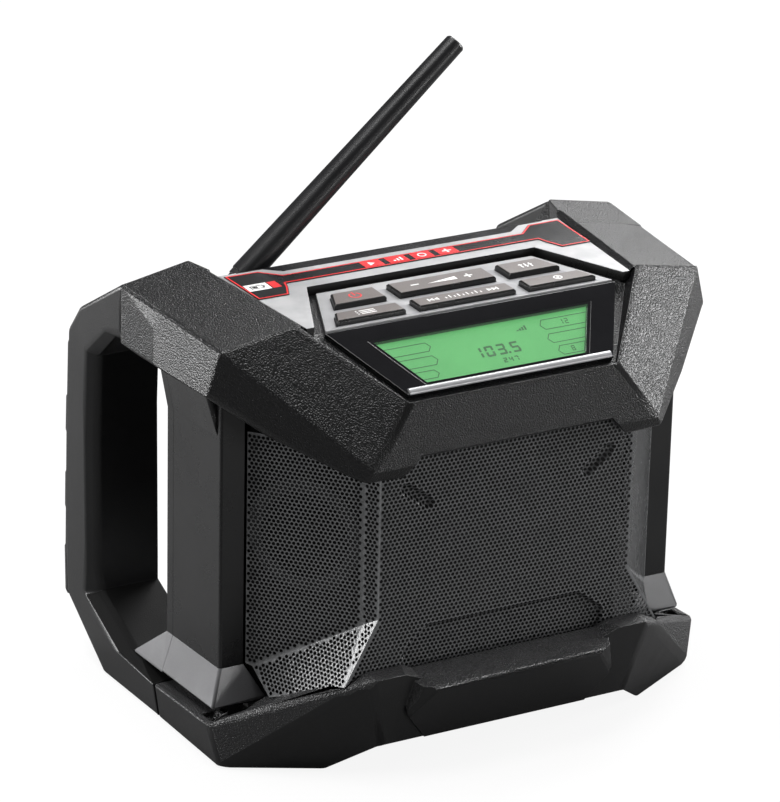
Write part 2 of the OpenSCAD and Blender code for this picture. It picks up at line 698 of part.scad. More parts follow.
// Corners of the left-hand keys and half of each rocker: across, behind the lip
front_row = [crease + 3.5, crease + 14];     // lip to the front and the back of each row
back_row = [crease + 22.5, crease + 37];
rocker_half = 26.5;           // half the length of a rocker key
side_key = 34;                // middle to the inner edge of the keys beside the rockers
power_spot = [[-57, back_row[1]], [-side_key, back_row[1]], [-side_key, back_row[0]], [-62.5, back_row[0]]];
mode_spot = [[-67, front_row[1]], [-side_key, front_row[1]], [-side_key, front_row[0]], [-71.5, front_row[0]]];
volume_spot = both2([[rocker_half, back_row[1]], [rocker_half, back_row[0]]]);
channel_spot = both2([[rocker_half, front_row[1]], [rocker_half, front_row[0]]]);
function opposite(spot) = [for (p = spot) [-p.x, p.y]];

module key_plate() color(silver) difference() {
    plate(both2(plate_outline), deck_floor, deck_z);
    for (spot = [power_spot, mode_spot, volume_spot, channel_spot, opposite(power_spot), opposite(mode_spot)])
        translate([0, -depth / 2, deck_floor - 1]) linear_extrude(plate_t + 2) offset(delta = key_gap) polygon(spot);
}

// A key: its cap with the top edge taken off, down to z0
module key_cap(spot, z0) {
    translate([0, -depth / 2, z0]) linear_extrude(key_top - 0.8 - z0) polygon(spot);
    translate([0, -depth / 2, key_top - 0.8]) hull() {
        linear_extrude(eps) polygon(spot);
        translate([0, 0, 0.8 - eps]) linear_extrude(eps) offset(delta = -0.8) polygon(spot);
    }
}

// A push key: the cap and the flange that keeps it under the plate
module push_key(spot) color(key_grey) {
    key_cap(spot, flange_low);
    translate([0, -depth / 2, flange_low]) linear_extrude(flange_t) offset(delta = flange_w) polygon(spot);
}
module power_key() push_key(power_spot);
module mode_key() push_key(mode_spot);
module eq_key() push_key(opposite(power_spot));
module select_key() push_key(opposite(mode_spot));

rocker_r = 1;
rocker_z = mat_top + rocker_r + pin_play;    // height of a rocker's axis
rocker_low = mat_top + rocker_half * sin(rocker_tilt) + 2 * fit;

// A rocker key: its cap, two stops under the plate and the rib on which it rocks
module rocker_key(spot) color(key_grey) {
    d_back = spot[0].y;
    d_front = spot[1].y;
    key_cap(spot, rocker_low);
    translate(at(-4, d_front - flange_w, rocker_z)) cube([8, d_back - d_front + 2 * flange_w, flange_top - rocker_z]);
    translate(at(0, d_front + 1, rocker_z)) rotate([-90, 0, 0]) cylinder(r = rocker_r, h = d_back - d_front - 2);
}
module volume_key() rocker_key(volume_spot);
module channel_key() rocker_key(channel_spot);

module keypad_mat() color([0.16, 0.16, 0.17])
    plate(both2([key_bay[0] - [fit, fit], key_bay[1] + [-fit, fit]]), mat_z, mat_top);

module control_board() color([0.10, 0.35, 0.18])
    plate(both2([key_bay[0] - [fit, fit], key_bay[1] + [-fit, fit]]), deck_floor - key_bay_depth, mat_z);

// ---------- display

window_t = 1.2;

module display_bezel() color([0.05, 0.05, 0.06]) on_slope() difference() {
    translate([0, 0, -bezel_t]) linear_extrude(bezel_t) polygon(bezel_outline);
    translate([0, 0, -window_t]) linear_extrude(bezel_t) polygon(window_outline);
    translate([0, 0, -bezel_t - 1]) linear_extrude(bezel_t + 1) offset(delta = -1.6) polygon(window_outline);
}

module display_window() color([0.42, 0.90, 0.46]) on_slope()
    translate([0, 0, -window_t]) linear_extrude(window_t - 0.2) offset(delta = -fit / 2) polygon(window_outline);

module lcd_module() color([0.30, 0.75, 0.35]) on_slope() {
    translate([0, 0, -bezel_t - lcd_t]) linear_extrude(lcd_t) polygon(lcd_outline);
    translate([0, 0, -bezel_t]) linear_extrude(bezel_t - window_t - fit) offset(delta = -2) polygon(window_outline);
}

// ---------- battery dock

rail_h = 11;
rail_wall = 3.5;
rail_lip = 3;
rail_base = 3;
rail_outer = rail_gap / 2 + rail_wall;
stop_h = 6;

module battery_rails() color([0.14, 0.14, 0.15]) translate(at(0, dock_face, dock_stop)) {
    translate([-rail_outer - 6, 0, 0]) cube([2 * rail_outer + 12, rail_base, rail_l]);
    translate([-rail_outer, rail_base, 0]) cube([2 * rail_outer, rail_h, stop_h]);
    for (s = [0, 1]) mirror([s, 0, 0]) linear_extrude(rail_l) polygon([
        [rail_outer, rail_base], [rail_outer, rail_base + rail_h], [rail_gap / 2 - rail_lip, rail_base + rail_h],
        [rail_gap / 2 - rail_lip, rail_base + rail_h - rail_wall], [rail_gap / 2, rail_base + rail_h - rail_wall - 1],
        [rail_gap / 2, rail_base]]);
}

contact_pitch = 12;
contact_z = dock_stop + stop_h + 18;
module battery_contacts() color([0.78, 0.62, 0.30]) {
    translate(at(-21, dock_face + rail_base, contact_z)) cube([42, 4, 12]);
    for (x = [-contact_pitch : contact_pitch : contact_pitch])
        translate(at(x - 0.5, dock_face + rail_base + 4, contact_z + 2)) cube([1, 6, 22]);
    for (x = [-contact_pitch : contact_pitch : contact_pitch])
        translate(at(x - 2.5, dock_face + rail_base, contact_z + 12)) cube([5, 10, 12]);
}

// ---------- sockets

module socket(body_r, bore, length) difference() {
    union() {
        translate([0, 0, -length]) cylinder(r = body_r, h = length);
        cylinder(r = body_r + 2, h = socket_flange);
    }
    translate([0, 0, 3 - length]) cylinder(d = bore, h = length);
}

aux_l = 18;
dc_l = 13;
module aux_socket() color([0.20, 0.20, 0.21]) at_socket(aux_z) socket(aux_body / 2, aux_bore, aux_l);
module dc_socket() color([0.20, 0.20, 0.21]) at_socket(dc_z) {
    socket(dc_body / 2, dc_bore, dc_l);
    translate([0, 0, 2 - dc_l]) cylinder(d = 2.1, h = dc_l - 3);
}

knuckle_l = cover_w - 2 * ear_w - 2 * fit;
module socket_cover() color([0.10, 0.10, 0.11]) {
    low = cover_top - cover_h;
    difference() {
        union() {
            translate(at(socket_x - ear_half, cover_axis - cover_t / 2, low)) cube([cover_w, cover_t, cover_h - 3.4]);
            translate(at(socket_x - knuckle_l / 2, cover_axis - cover_t / 2, low)) cube([knuckle_l, cover_t, cover_h]);
            translate(at(socket_x - knuckle_l / 2, cover_axis, cover_top)) rotate([0, 90, 0]) cylinder(d = 4.8, h = knuckle_l);
        }
        translate(at(socket_x - cover_w, cover_axis, cover_top)) rotate([0, 90, 0])
            cylinder(r = cover_pin_d / 2 + pin_play, h = 2 * cover_w);
    }
    // finger tab at the foot
    translate(at(socket_x - 6, cover_axis + cover_t / 2, low)) cube([12, 2, 3]);
}

module cover_pin() color([0.6, 0.6, 0.62]) translate(at(socket_x - ear_half, cover_axis, cover_top))
    rotate([0, 90, 0]) cylinder(d = cover_pin_d, h = cover_w);

// ---------- antenna

hinge_x = -85;
hinge_d = deck_back + 11;     // lip to the plane in which the antenna swings
hinge_z = trough_z + 10;
hinge_r = 7;
tongue_t = 5;
cheek_t = 3;
tongue_l = 12;                // hinge to the foot of the rubber mast

// Along the antenna, +Z towards its tip
module at_hinge() translate(at(hinge_x, hinge_d, hinge_z)) rotate([0, 90 - antenna_angle, 0]) children();
// Along the hinge pin
module at_pin() translate(at(hinge_x, hinge_d, hinge_z)) rotate([90, 0, 0]) children();

module antenna_base() color([0.10, 0.10, 0.11]) difference() {
    union() {
        translate(at(hinge_x - hinge_r, hinge_d - tongue_t / 2 - cheek_t - fit, trough_z))
            cube([2 * hinge_r, tongue_t + 2 * cheek_t + 2 * fit, 2]);
        for (s = [-1, 1]) {
            translate(at(hinge_x - hinge_r, hinge_d + s * (tongue_t / 2 + fit + cheek_t / 2) - cheek_t / 2, trough_z))
                cube([2 * hinge_r, cheek_t, hinge_z - trough_z]);
            translate([0, -s * (tongue_t / 2 + fit + cheek_t / 2), 0]) at_pin()
                cylinder(r = hinge_r, h = cheek_t, center = true);
        }
    }
    at_pin() cylinder(d = hinge_pin_d, h = 40, center = true);
}

module antenna_pin() color([0.6, 0.6, 0.62]) at_pin()
    cylinder(d = hinge_pin_d, h = tongue_t + 2 * cheek_t + 2 * fit, center = true);

module antenna_knuckle() color([0.10, 0.10, 0.11]) at_hinge() {
    rotate([90, 0, 0]) linear_extrude(tongue_t, center = true) difference() {
        union() {
            circle(r = hinge_r - 0.5);
            translate([1.5 - hinge_r, 0]) square([2 * hinge_r - 3, tongue_l - 2]);
        }
        circle(r = hinge_pin_d / 2 + pin_play);
    }
    translate([0, 0, tongue_l - 3]) cylinder(d = antenna_d - 1, h = 3);
}

module antenna_mast() color([0.07, 0.07, 0.08]) at_hinge() {
    translate([0, 0, tongue_l]) cylinder(d1 = antenna_d, d2 = antenna_tip_d, h = antenna_l - tongue_l - 1);
    translate([0, 0, antenna_l - 1]) cylinder(d1 = antenna_tip_d, d2 = antenna_tip_d - 1.6, h = 1);
}

// ---------- fasteners

module housing_screws() color([0.35, 0.35, 0.36]) for (s = [-1, 1], p = screw_spots)
    translate(at(s * p.x, p.y, p.z)) rotate([-90, 0, 0]) difference() {
        union() {
            translate([0, 0, -wall - 1]) cylinder(d = screw_d, h = wall + 1);
            cylinder(d = screw_head_d, h = screw_head_h);
        }
        translate([0, 0, 1]) cylinder(d = 3.6, h = screw_head_h, $fn = 6);
    }

front_hood();
rear_hood();
front_housing();
rear_housing();
base_pan();
front_bumper();
side_loop_left();
side_loop_right();
grip_left();
grip_right();
grille();
speaker_baffle();
speaker_left();
speaker_right();
cone_left();
cone_right();
deck_frame();
key_plate();
label_strip();
keypad_mat();
power_key();
mode_key();
volume_key();
channel_key();
eq_key();
select_key();
display_bezel();
display_window();
lcd_module();
control_board();
amplifier_board();
dock_housing();
battery_rails();
battery_contacts();
aux_socket();
dc_socket();
socket_cover();
cover_pin();
antenna_base();
antenna_pin();
antenna_knuckle();
antenna_mast();
housing_screws();
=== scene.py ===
# %% [markdown]
# # A jobsite radio
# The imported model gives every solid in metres, so nothing here is fitted by
# eye. We load it first, keep the size of its box, and write one small helper
# that turns millimetres into a point of this frame. Depths count from the
# bumper's lip, which is the front of the box.

# %% Load the frame
import json
import math

import bmesh
import bpy
from mathutils import Matrix, Vector
from mathutils.geometry import intersect_point_line

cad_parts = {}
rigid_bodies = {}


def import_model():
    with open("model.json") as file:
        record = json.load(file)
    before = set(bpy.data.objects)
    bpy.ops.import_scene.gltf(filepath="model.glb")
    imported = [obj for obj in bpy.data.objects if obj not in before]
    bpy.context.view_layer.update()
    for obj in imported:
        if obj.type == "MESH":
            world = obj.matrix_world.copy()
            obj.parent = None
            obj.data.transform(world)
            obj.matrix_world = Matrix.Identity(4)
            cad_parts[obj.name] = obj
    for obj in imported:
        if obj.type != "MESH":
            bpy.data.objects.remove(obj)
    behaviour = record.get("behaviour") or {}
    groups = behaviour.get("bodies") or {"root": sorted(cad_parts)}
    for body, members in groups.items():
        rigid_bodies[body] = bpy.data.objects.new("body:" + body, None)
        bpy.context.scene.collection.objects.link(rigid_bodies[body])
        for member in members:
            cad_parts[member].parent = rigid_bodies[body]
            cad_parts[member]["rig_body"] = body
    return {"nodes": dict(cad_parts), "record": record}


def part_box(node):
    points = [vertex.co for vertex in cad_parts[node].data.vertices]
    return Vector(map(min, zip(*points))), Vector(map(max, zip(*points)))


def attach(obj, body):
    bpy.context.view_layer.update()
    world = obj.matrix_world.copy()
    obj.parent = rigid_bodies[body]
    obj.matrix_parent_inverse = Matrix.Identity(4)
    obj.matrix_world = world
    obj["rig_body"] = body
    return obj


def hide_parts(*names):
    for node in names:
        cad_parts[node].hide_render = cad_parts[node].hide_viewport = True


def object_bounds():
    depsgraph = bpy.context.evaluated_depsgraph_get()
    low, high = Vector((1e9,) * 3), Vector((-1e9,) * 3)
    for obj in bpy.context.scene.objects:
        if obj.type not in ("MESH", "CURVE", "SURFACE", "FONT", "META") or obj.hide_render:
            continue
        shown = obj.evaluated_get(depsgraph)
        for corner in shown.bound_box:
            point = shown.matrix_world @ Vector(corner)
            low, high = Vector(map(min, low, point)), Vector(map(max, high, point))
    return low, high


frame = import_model()
packed_box = [[float(v) for v in corner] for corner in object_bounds()]
MM = 0.001
LIP_Y = packed_box[0][1]


def at(x, d, z):
    """A point x across, d behind the bumper's lip and z up, in millimetres."""
    return Vector((x * MM, LIP_Y + d * MM, z * MM))


print("box", packed_box, "nodes", len(frame["nodes"]))

# %% [markdown]
# ## Camera
# The radio is seen from its left front corner, from a little above, through a
# long lens, so its edges stay nearly parallel. A camera's own axes are right,
# up and back. We build those three directions from the turn, the tilt and the
# small roll, and put them in the columns of its matrix.

# %% Camera
TURN, TILT, ROLL = (math.radians(v) for v in (29.32, 22.42, 1.31))
CAMERA_PLACE = (-0.9842, -1.7296, 0.9685)
FOCAL_PIXELS, FRAME_HEIGHT, SENSOR = 4350, 802, 36

right = Vector((math.cos(TURN), -math.sin(TURN), 0))
ahead = Vector((math.sin(TURN) * math.cos(TILT), math.cos(TURN) * math.cos(TILT), -math.sin(TILT)))
up = right.cross(ahead)
across = math.cos(ROLL) * right + math.sin(ROLL) * up
upward = -math.sin(ROLL) * right + math.cos(ROLL) * up

camera = bpy.data.objects.new("camera", bpy.data.cameras.new("camera"))
bpy.context.scene.collection.objects.link(camera)
camera.matrix_world = Matrix((across, upward, -ahead)).transposed().to_4x4()
camera.location = CAMERA_PLACE
camera.data.lens = FOCAL_PIXELS / FRAME_HEIGHT * SENSOR
camera.data.clip_end = 50
bpy.context.scene.camera = camera
bpy.context.scene.view_settings.view_transform = "Standard"
print("lens", round(camera.data.lens, 1), "mm")

# %% [markdown]
# ## Light
# Black plastic shows its shape by what it reflects. Wide soft boxes above and
# behind turn the upper facets grey and draw a bright line on every rounded
# edge. The ones at the right and the left set the tone of the side walls, and
# weak ones in front and low down keep the foot from going black. Area lamps
# are used because their size sets how soft the shadow and the shine are.

# %% Lamps


def soft_box(name, place, aim, size, power):
    lamp = bpy.data.lights.new(name, "AREA")
    lamp.shape = "RECTANGLE"
    lamp.size, lamp.size_y = size
    lamp.energy = power
    holder = bpy.data.objects.new(name, lamp)
    bpy.context.scene.collection.objects.link(holder)
    holder.location = place
    way = Vector(aim) - Vector(place)
    holder.rotation_euler = way.to_track_quat("-Z", "Y").to_euler()


soft_box("lamp_back", (1.35, 1.0, 1.35), (0, 0, 0.15), (1.1, 0.8), 36)
soft_box("lamp_right", (1.7, -0.35, 0.5), (0.05, 0, 0.15), (0.7, 0.6), 26)
soft_box("lamp_left", (-1.5, 0.75, 0.45), (0, 0, 0.12), (0.8, 0.6), 23)
soft_box("lamp_front", (0.12, -1.86, 0.72), (0, 0, 0.05), (0.36, 0.26), 1.2)
soft_box("lamp_above", (-0.3, 0.1, 1.9), (0, 0, 0.15), (1.3, 1.0), 36)
soft_box("lamp_low_back", (-1.05, 1.45, 0.16), (0, 0, 0.1), (0.8, 0.5), 14)
soft_box("lamp_low_front", (0.80, -1.75, 0.12), (0, 0, 0.05), (0.5, 0.14), 5)

# %% [markdown]
# ## Nodes in one line
# Materials and the world are trees of nodes. They are easier to read when a
# product or a ramp takes one line, so each helper adds a node, sets or links
# its inputs, and returns its output socket.

# %% Node helpers


def link(tree, a, b):
    tree.links.new(a, b)


def feed(tree, value, socket):
    """Sets a socket to a plain number, or links another node's output to it."""
    if isinstance(value, (int, float)):
        socket.default_value = value
    else:
        link(tree, value, socket)


def math_node(tree, kind, a, b):
    """One Math node. a and b are outputs or plain numbers."""
    node = tree.nodes.new("ShaderNodeMath")
    node.operation = kind
    feed(tree, a, node.inputs[0])
    feed(tree, b, node.inputs[1])
    return node.outputs[0]


def ramp(tree, value, low, high, to_low=0.0, to_high=1.0):
    """value mapped from low..high to to_low..to_high, and held at the ends."""
    node = tree.nodes.new("ShaderNodeMapRange")
    link(tree, value, node.inputs["Value"])
    for label, number in (("From Min", low), ("From Max", high), ("To Min", to_low), ("To Max", to_high)):
        feed(tree, number, node.inputs[label])
    return node.outputs[0]


print("node helpers ready")

# %% [markdown]
# ## World and floor
# The surroundings are plain and white to the camera, also through the clear
# cover of the display. Black gloss would turn grey in a white room, so what it
# mirrors, and the light that falls on the radio, are much weaker. Light Path
# tells which kind of ray asks, and each kind adds its own share to the
# strength of the Background.

# %% World
AMBIENT = 0.09
RAY_SHARES = (("Is Camera Ray", 0.91), ("Is Glossy Ray", 0.04), ("Is Transmission Ray", 0.9))

world = bpy.data.worlds.new("studio")
bpy.context.scene.world = world
world.use_nodes = True
sky = world.node_tree
plain = sky.nodes["Background"]
plain.inputs["Color"].default_value = (1, 1, 1, 1)
path = sky.nodes.new("ShaderNodeLightPath")
strength = AMBIENT
for ray, level in RAY_SHARES:
    strength = math_node(sky, "ADD", math_node(sky, "MULTIPLY", path.outputs[ray], level), strength)
link(sky, strength, plain.inputs["Strength"])
print("world strength for light", AMBIENT)

# %% [markdown]
# ### Paper for the floor
# The floor is a wide sheet of paper. To the camera it is almost white, because
# most of it glows, and it still darkens a little where the radio shades it.
# Other rays meet a much darker paper, so it throws little light upwards.

# %% Floor paper
PAPER_GLOW, PAPER_SEEN, PAPER_IN_LIGHT = 0.9, 0.9, 0.2


def new_material(name):
    """An empty material with its output, and its node tree."""
    material = bpy.data.materials.new(name)
    material.use_nodes = True
    tree = material.node_tree
    tree.nodes.clear()
    tree.nodes.new("ShaderNodeOutputMaterial")
    return material, tree


def surface(tree, shader):
    link(tree, shader, tree.nodes["Material Output"].inputs["Surface"])


floor_paper, tree = new_material("floor_paper")
seen = tree.nodes.new("ShaderNodeLightPath").outputs["Is Camera Ray"]
paper = tree.nodes.new("ShaderNodeBsdfDiffuse")
link(tree, ramp(tree, seen, 0.0, 1.0, PAPER_IN_LIGHT, PAPER_SEEN), paper.inputs["Color"])
glow = tree.nodes.new("ShaderNodeEmission")
glow.inputs["Color"].default_value = (1, 1, 1, 1)
glow.inputs["Strength"].default_value = 1.0
both = tree.nodes.new("ShaderNodeMixShader")
link(tree, math_node(tree, "MULTIPLY", seen, PAPER_GLOW), both.inputs["Fac"])
link(tree, paper.outputs[0], both.inputs[1])
link(tree, glow.outputs[0], both.inputs[2])
surface(tree, both.outputs[0])
print("material", floor_paper.name)

# %% [markdown]
# ### The floor
# The sheet lies a hair below the feet, so the two never flicker through each other.

# %% Floor
FLOOR_HALF, FLOOR_GAP = 4, 0.0004
sheet = bmesh.new()
bmesh.ops.create_grid(sheet, x_segments=8, y_segments=8, size=FLOOR_HALF)
mesh = bpy.data.meshes.new("floor")
sheet.to_mesh(mesh)
sheet.free()
floor = bpy.data.objects.new("floor", mesh)
floor.location.z = -FLOOR_GAP
bpy.context.scene.collection.objects.link(floor)
floor.data.materials.append(floor_paper)
print("floor", 2 * FLOOR_HALF, "m wide")

# %% [markdown]
# ## Shader groups
# Effects that several finishes share are node groups with named sockets, built
# once. Each one only puts out masks and heights, and the material decides what
# they do. All of them read the object's own coordinates, in metres, so a grain
# keeps its real size whatever piece it is on.

# %% An empty group


def new_group(name, inputs, outputs):
    """A shader group with float inputs {name: default} and float outputs."""
    group = bpy.data.node_groups.new(name, "ShaderNodeTree")
    for label, value in inputs.items():
        socket = group.interface.new_socket(label, in_out="INPUT", socket_type="NodeSocketFloat")
        socket.default_value = value
    for label in outputs:
        group.interface.new_socket(label, in_out="OUTPUT", socket_type="NodeSocketFloat")
    group.nodes.new("NodeGroupInput").name = "in"
    group.nodes.new("NodeGroupOutput").name = "out"
    return group


print("group maker ready")

# %% [markdown]
# ### Where the patterns start
# Texture nodes need a place to count from. Both helpers use the object's own
# coordinates, so a pattern rides along when a piece moves.

# %% Coordinates and noise


def coordinates(tree):
    return tree.nodes.new("ShaderNodeTexCoord").outputs["Object"]


def noise(tree, scale, detail=2.0, roughness=0.5):
    node = tree.nodes.new("ShaderNodeTexNoise")
    node.inputs["Detail"].default_value = detail
    node.inputs["Roughness"].default_value = roughness
    link(tree, coordinates(tree), node.inputs["Vector"])
    feed(tree, scale, node.inputs["Scale"])
    return node.outputs["Fac"]


print("noise helper ready")

# %% [markdown]
# ### Moulded grain
# Rough housings come out of a mould that was etched or sparked: small rounded
# lumps, with some variation from place to place. A smooth Voronoi pattern
# gives the lumps, and a finer noise breaks them up.

# %% Moulded grain group
moulded_grain = new_group("moulded_grain", {"Scale": 1500.0, "Variation": 0.35}, ["Height", "Pits"])
g = moulded_grain
start, end = g.nodes["in"], g.nodes["out"]
lumps = g.nodes.new("ShaderNodeTexVoronoi")
lumps.feature = "SMOOTH_F1"
lumps.inputs["Smoothness"].default_value = 0.6
link(g, coordinates(g), lumps.inputs["Vector"])
link(g, start.outputs["Scale"], lumps.inputs["Scale"])
fine = noise(g, math_node(g, "MULTIPLY", start.outputs["Scale"], 1.9), 2.0)
round_top = ramp(g, lumps.outputs["Distance"], 0.0, 0.75, 1.0, 0.0)
mixed = math_node(g, "ADD", round_top, math_node(g, "MULTIPLY", fine, start.outputs["Variation"]))
link(g, mixed, end.inputs["Height"])
link(g, ramp(g, lumps.outputs["Distance"], 0.35, 0.7), end.inputs["Pits"])
print("group", g.name)

# %% [markdown]
# ### Edge wear
# Corners are handled most, so they polish and turn a little paler. Geometry's
# Pointiness is high where the surface bulges; noise keeps it from looking
# drawn with a ruler.

# %% Edge wear group
edge_wear = new_group("edge_wear", {"Amount": 1.0, "Patchiness": 0.5}, ["Mask"])
g = edge_wear
start, end = g.nodes["in"], g.nodes["out"]
bulge = g.nodes.new("ShaderNodeNewGeometry").outputs["Pointiness"]
FLAT, SHARP_BULGE = 0.505, 0.56
edge = ramp(g, bulge, FLAT, SHARP_BULGE)
patches = ramp(g, noise(g, 90.0, 4.0), 0.3, 0.65)
patchy = ramp(g, start.outputs["Patchiness"], 0.0, 1.0, 1.0, patches)
worn_edge = math_node(g, "MULTIPLY", edge, patchy)
link(g, math_node(g, "MULTIPLY", worn_edge, start.outputs["Amount"]), end.inputs["Mask"])
print("group", g.name)

# %% [markdown]
# ### Handling
# Even a new plastic surface is not equally shiny all over: broad dull clouds
# from hands, and fine dust. The group gives both as masks.

# %% Handling group
handling = new_group("handling", {"Cloud size": 28.0, "Dust": 0.5}, ["Clouds", "Dust"])
g = handling
start, end = g.nodes["in"], g.nodes["out"]
clouds = ramp(g, noise(g, start.outputs["Cloud size"], 5.0, 0.6), 0.36, 0.66)
link(g, clouds, end.inputs["Clouds"])
specks = ramp(g, noise(g, 2600.0, 1.0), 0.66, 0.78)
drift = ramp(g, noise(g, 60.0, 3.0), 0.35, 0.7)
settled = math_node(g, "MULTIPLY", specks, drift)
link(g, math_node(g, "MULTIPLY", settled, start.outputs["Dust"]), end.inputs["Dust"])
print("groups", [x.name for x in bpy.data.node_groups])

# %% [markdown]
# ## Materials
# A material places the groups with its own values and mixes colours by their
# masks. Two helpers do that: one puts a group into a material's tree, and one
# mixes two colours.

# %% Placing groups and mixing colours


def use(tree, group, **values):
    node = tree.nodes.new("ShaderNodeGroup")
    node.node_tree = group
    for label, value in values.items():
        node.inputs[label.replace("_", " ")].default_value = value
    return node


def blend(tree, mask, low, high):
    """A colour between low and high, by mask."""
    node = tree.nodes.new("ShaderNodeMix")
    node.data_type = "RGBA"
    link(tree, mask, node.inputs["Factor"])
    for socket, value in ((node.inputs[6], low), (node.inputs[7], high)):
        if isinstance(value, tuple):
            socket.default_value = (*value, 1)
        else:
            link(tree, value, socket)
    return node.outputs[2]


print("material helpers ready")

# %% [markdown]
# ### Opaque finishes
# One function makes every opaque finish: a Principled shader whose colour and
# roughness move a little with the groups' masks, and a bump from the grain.
# What differs between two finishes is then a short line of numbers. What is
# the same all over a surface, such as its shine, is set on the shader itself.

# %% Opaque finishes
COAT_ROUGHNESS, EDGE_POLISH, DUST_TINT = 0.08, 0.06, 0.05
PALER, PALE_LIFT = 1.7, 0.005


def finish(name, colour, rough, grain=0.0, grain_scale=1500.0, depth=0.00012, worn=None, dull=0.08,
           metallic=0.0, dust=0.3, pits=0.25, coat=0.0, wear=0.6, shine=0.5):
    material, tree = new_material(name)
    shader = tree.nodes.new("ShaderNodeBsdfPrincipled")
    shader.inputs["Metallic"].default_value = metallic
    shader.inputs["Coat Weight"].default_value = coat
    shader.inputs["Coat Roughness"].default_value = COAT_ROUGHNESS
    shader.inputs["Specular IOR Level"].default_value = shine
    texture = use(tree, moulded_grain, Scale=grain_scale)
    hands = use(tree, handling, Dust=dust)
    edges = use(tree, edge_wear, Amount=wear)
    pale = tuple(min(1.0, c * PALER + PALE_LIFT) for c in colour) if worn is None else worn
    dark = tuple(c * (1 - pits) for c in colour)
    tint = blend(tree, texture.outputs["Pits"], colour, dark)
    tint = blend(tree, edges.outputs["Mask"], tint, pale)
    tint = blend(tree, hands.outputs["Dust"], tint, tuple(min(1.0, c + DUST_TINT) for c in colour))
    link(tree, tint, shader.inputs["Base Color"])
    roughness = ramp(tree, hands.outputs["Clouds"], 0.0, 1.0, rough - dull / 2, rough + dull / 2)
    polish = math_node(tree, "MULTIPLY", edges.outputs["Mask"], EDGE_POLISH)
    link(tree, math_node(tree, "SUBTRACT", roughness, polish), shader.inputs["Roughness"])
    bump = tree.nodes.new("ShaderNodeBump")
    bump.inputs["Strength"].default_value = grain
    bump.inputs["Distance"].default_value = depth
    link(tree, texture.outputs["Height"], bump.inputs["Height"])
    link(tree, bump.outputs["Normal"], shader.inputs["Normal"])
    surface(tree, shader.outputs[0])
    return material


print("finish maker ready")

# %% [markdown]
# ### The finishes
# Each line gives a colour, a roughness, the strength of the grain, how many
# grains lie on a metre, and how deep they are in metres. What a line leaves
# out has its usual value. The mouldings are nearly black and differ in grain
# and shine, the deck is a silver paint, the key caps are a warm grey, and the
# metal of screws and contacts is real metal.

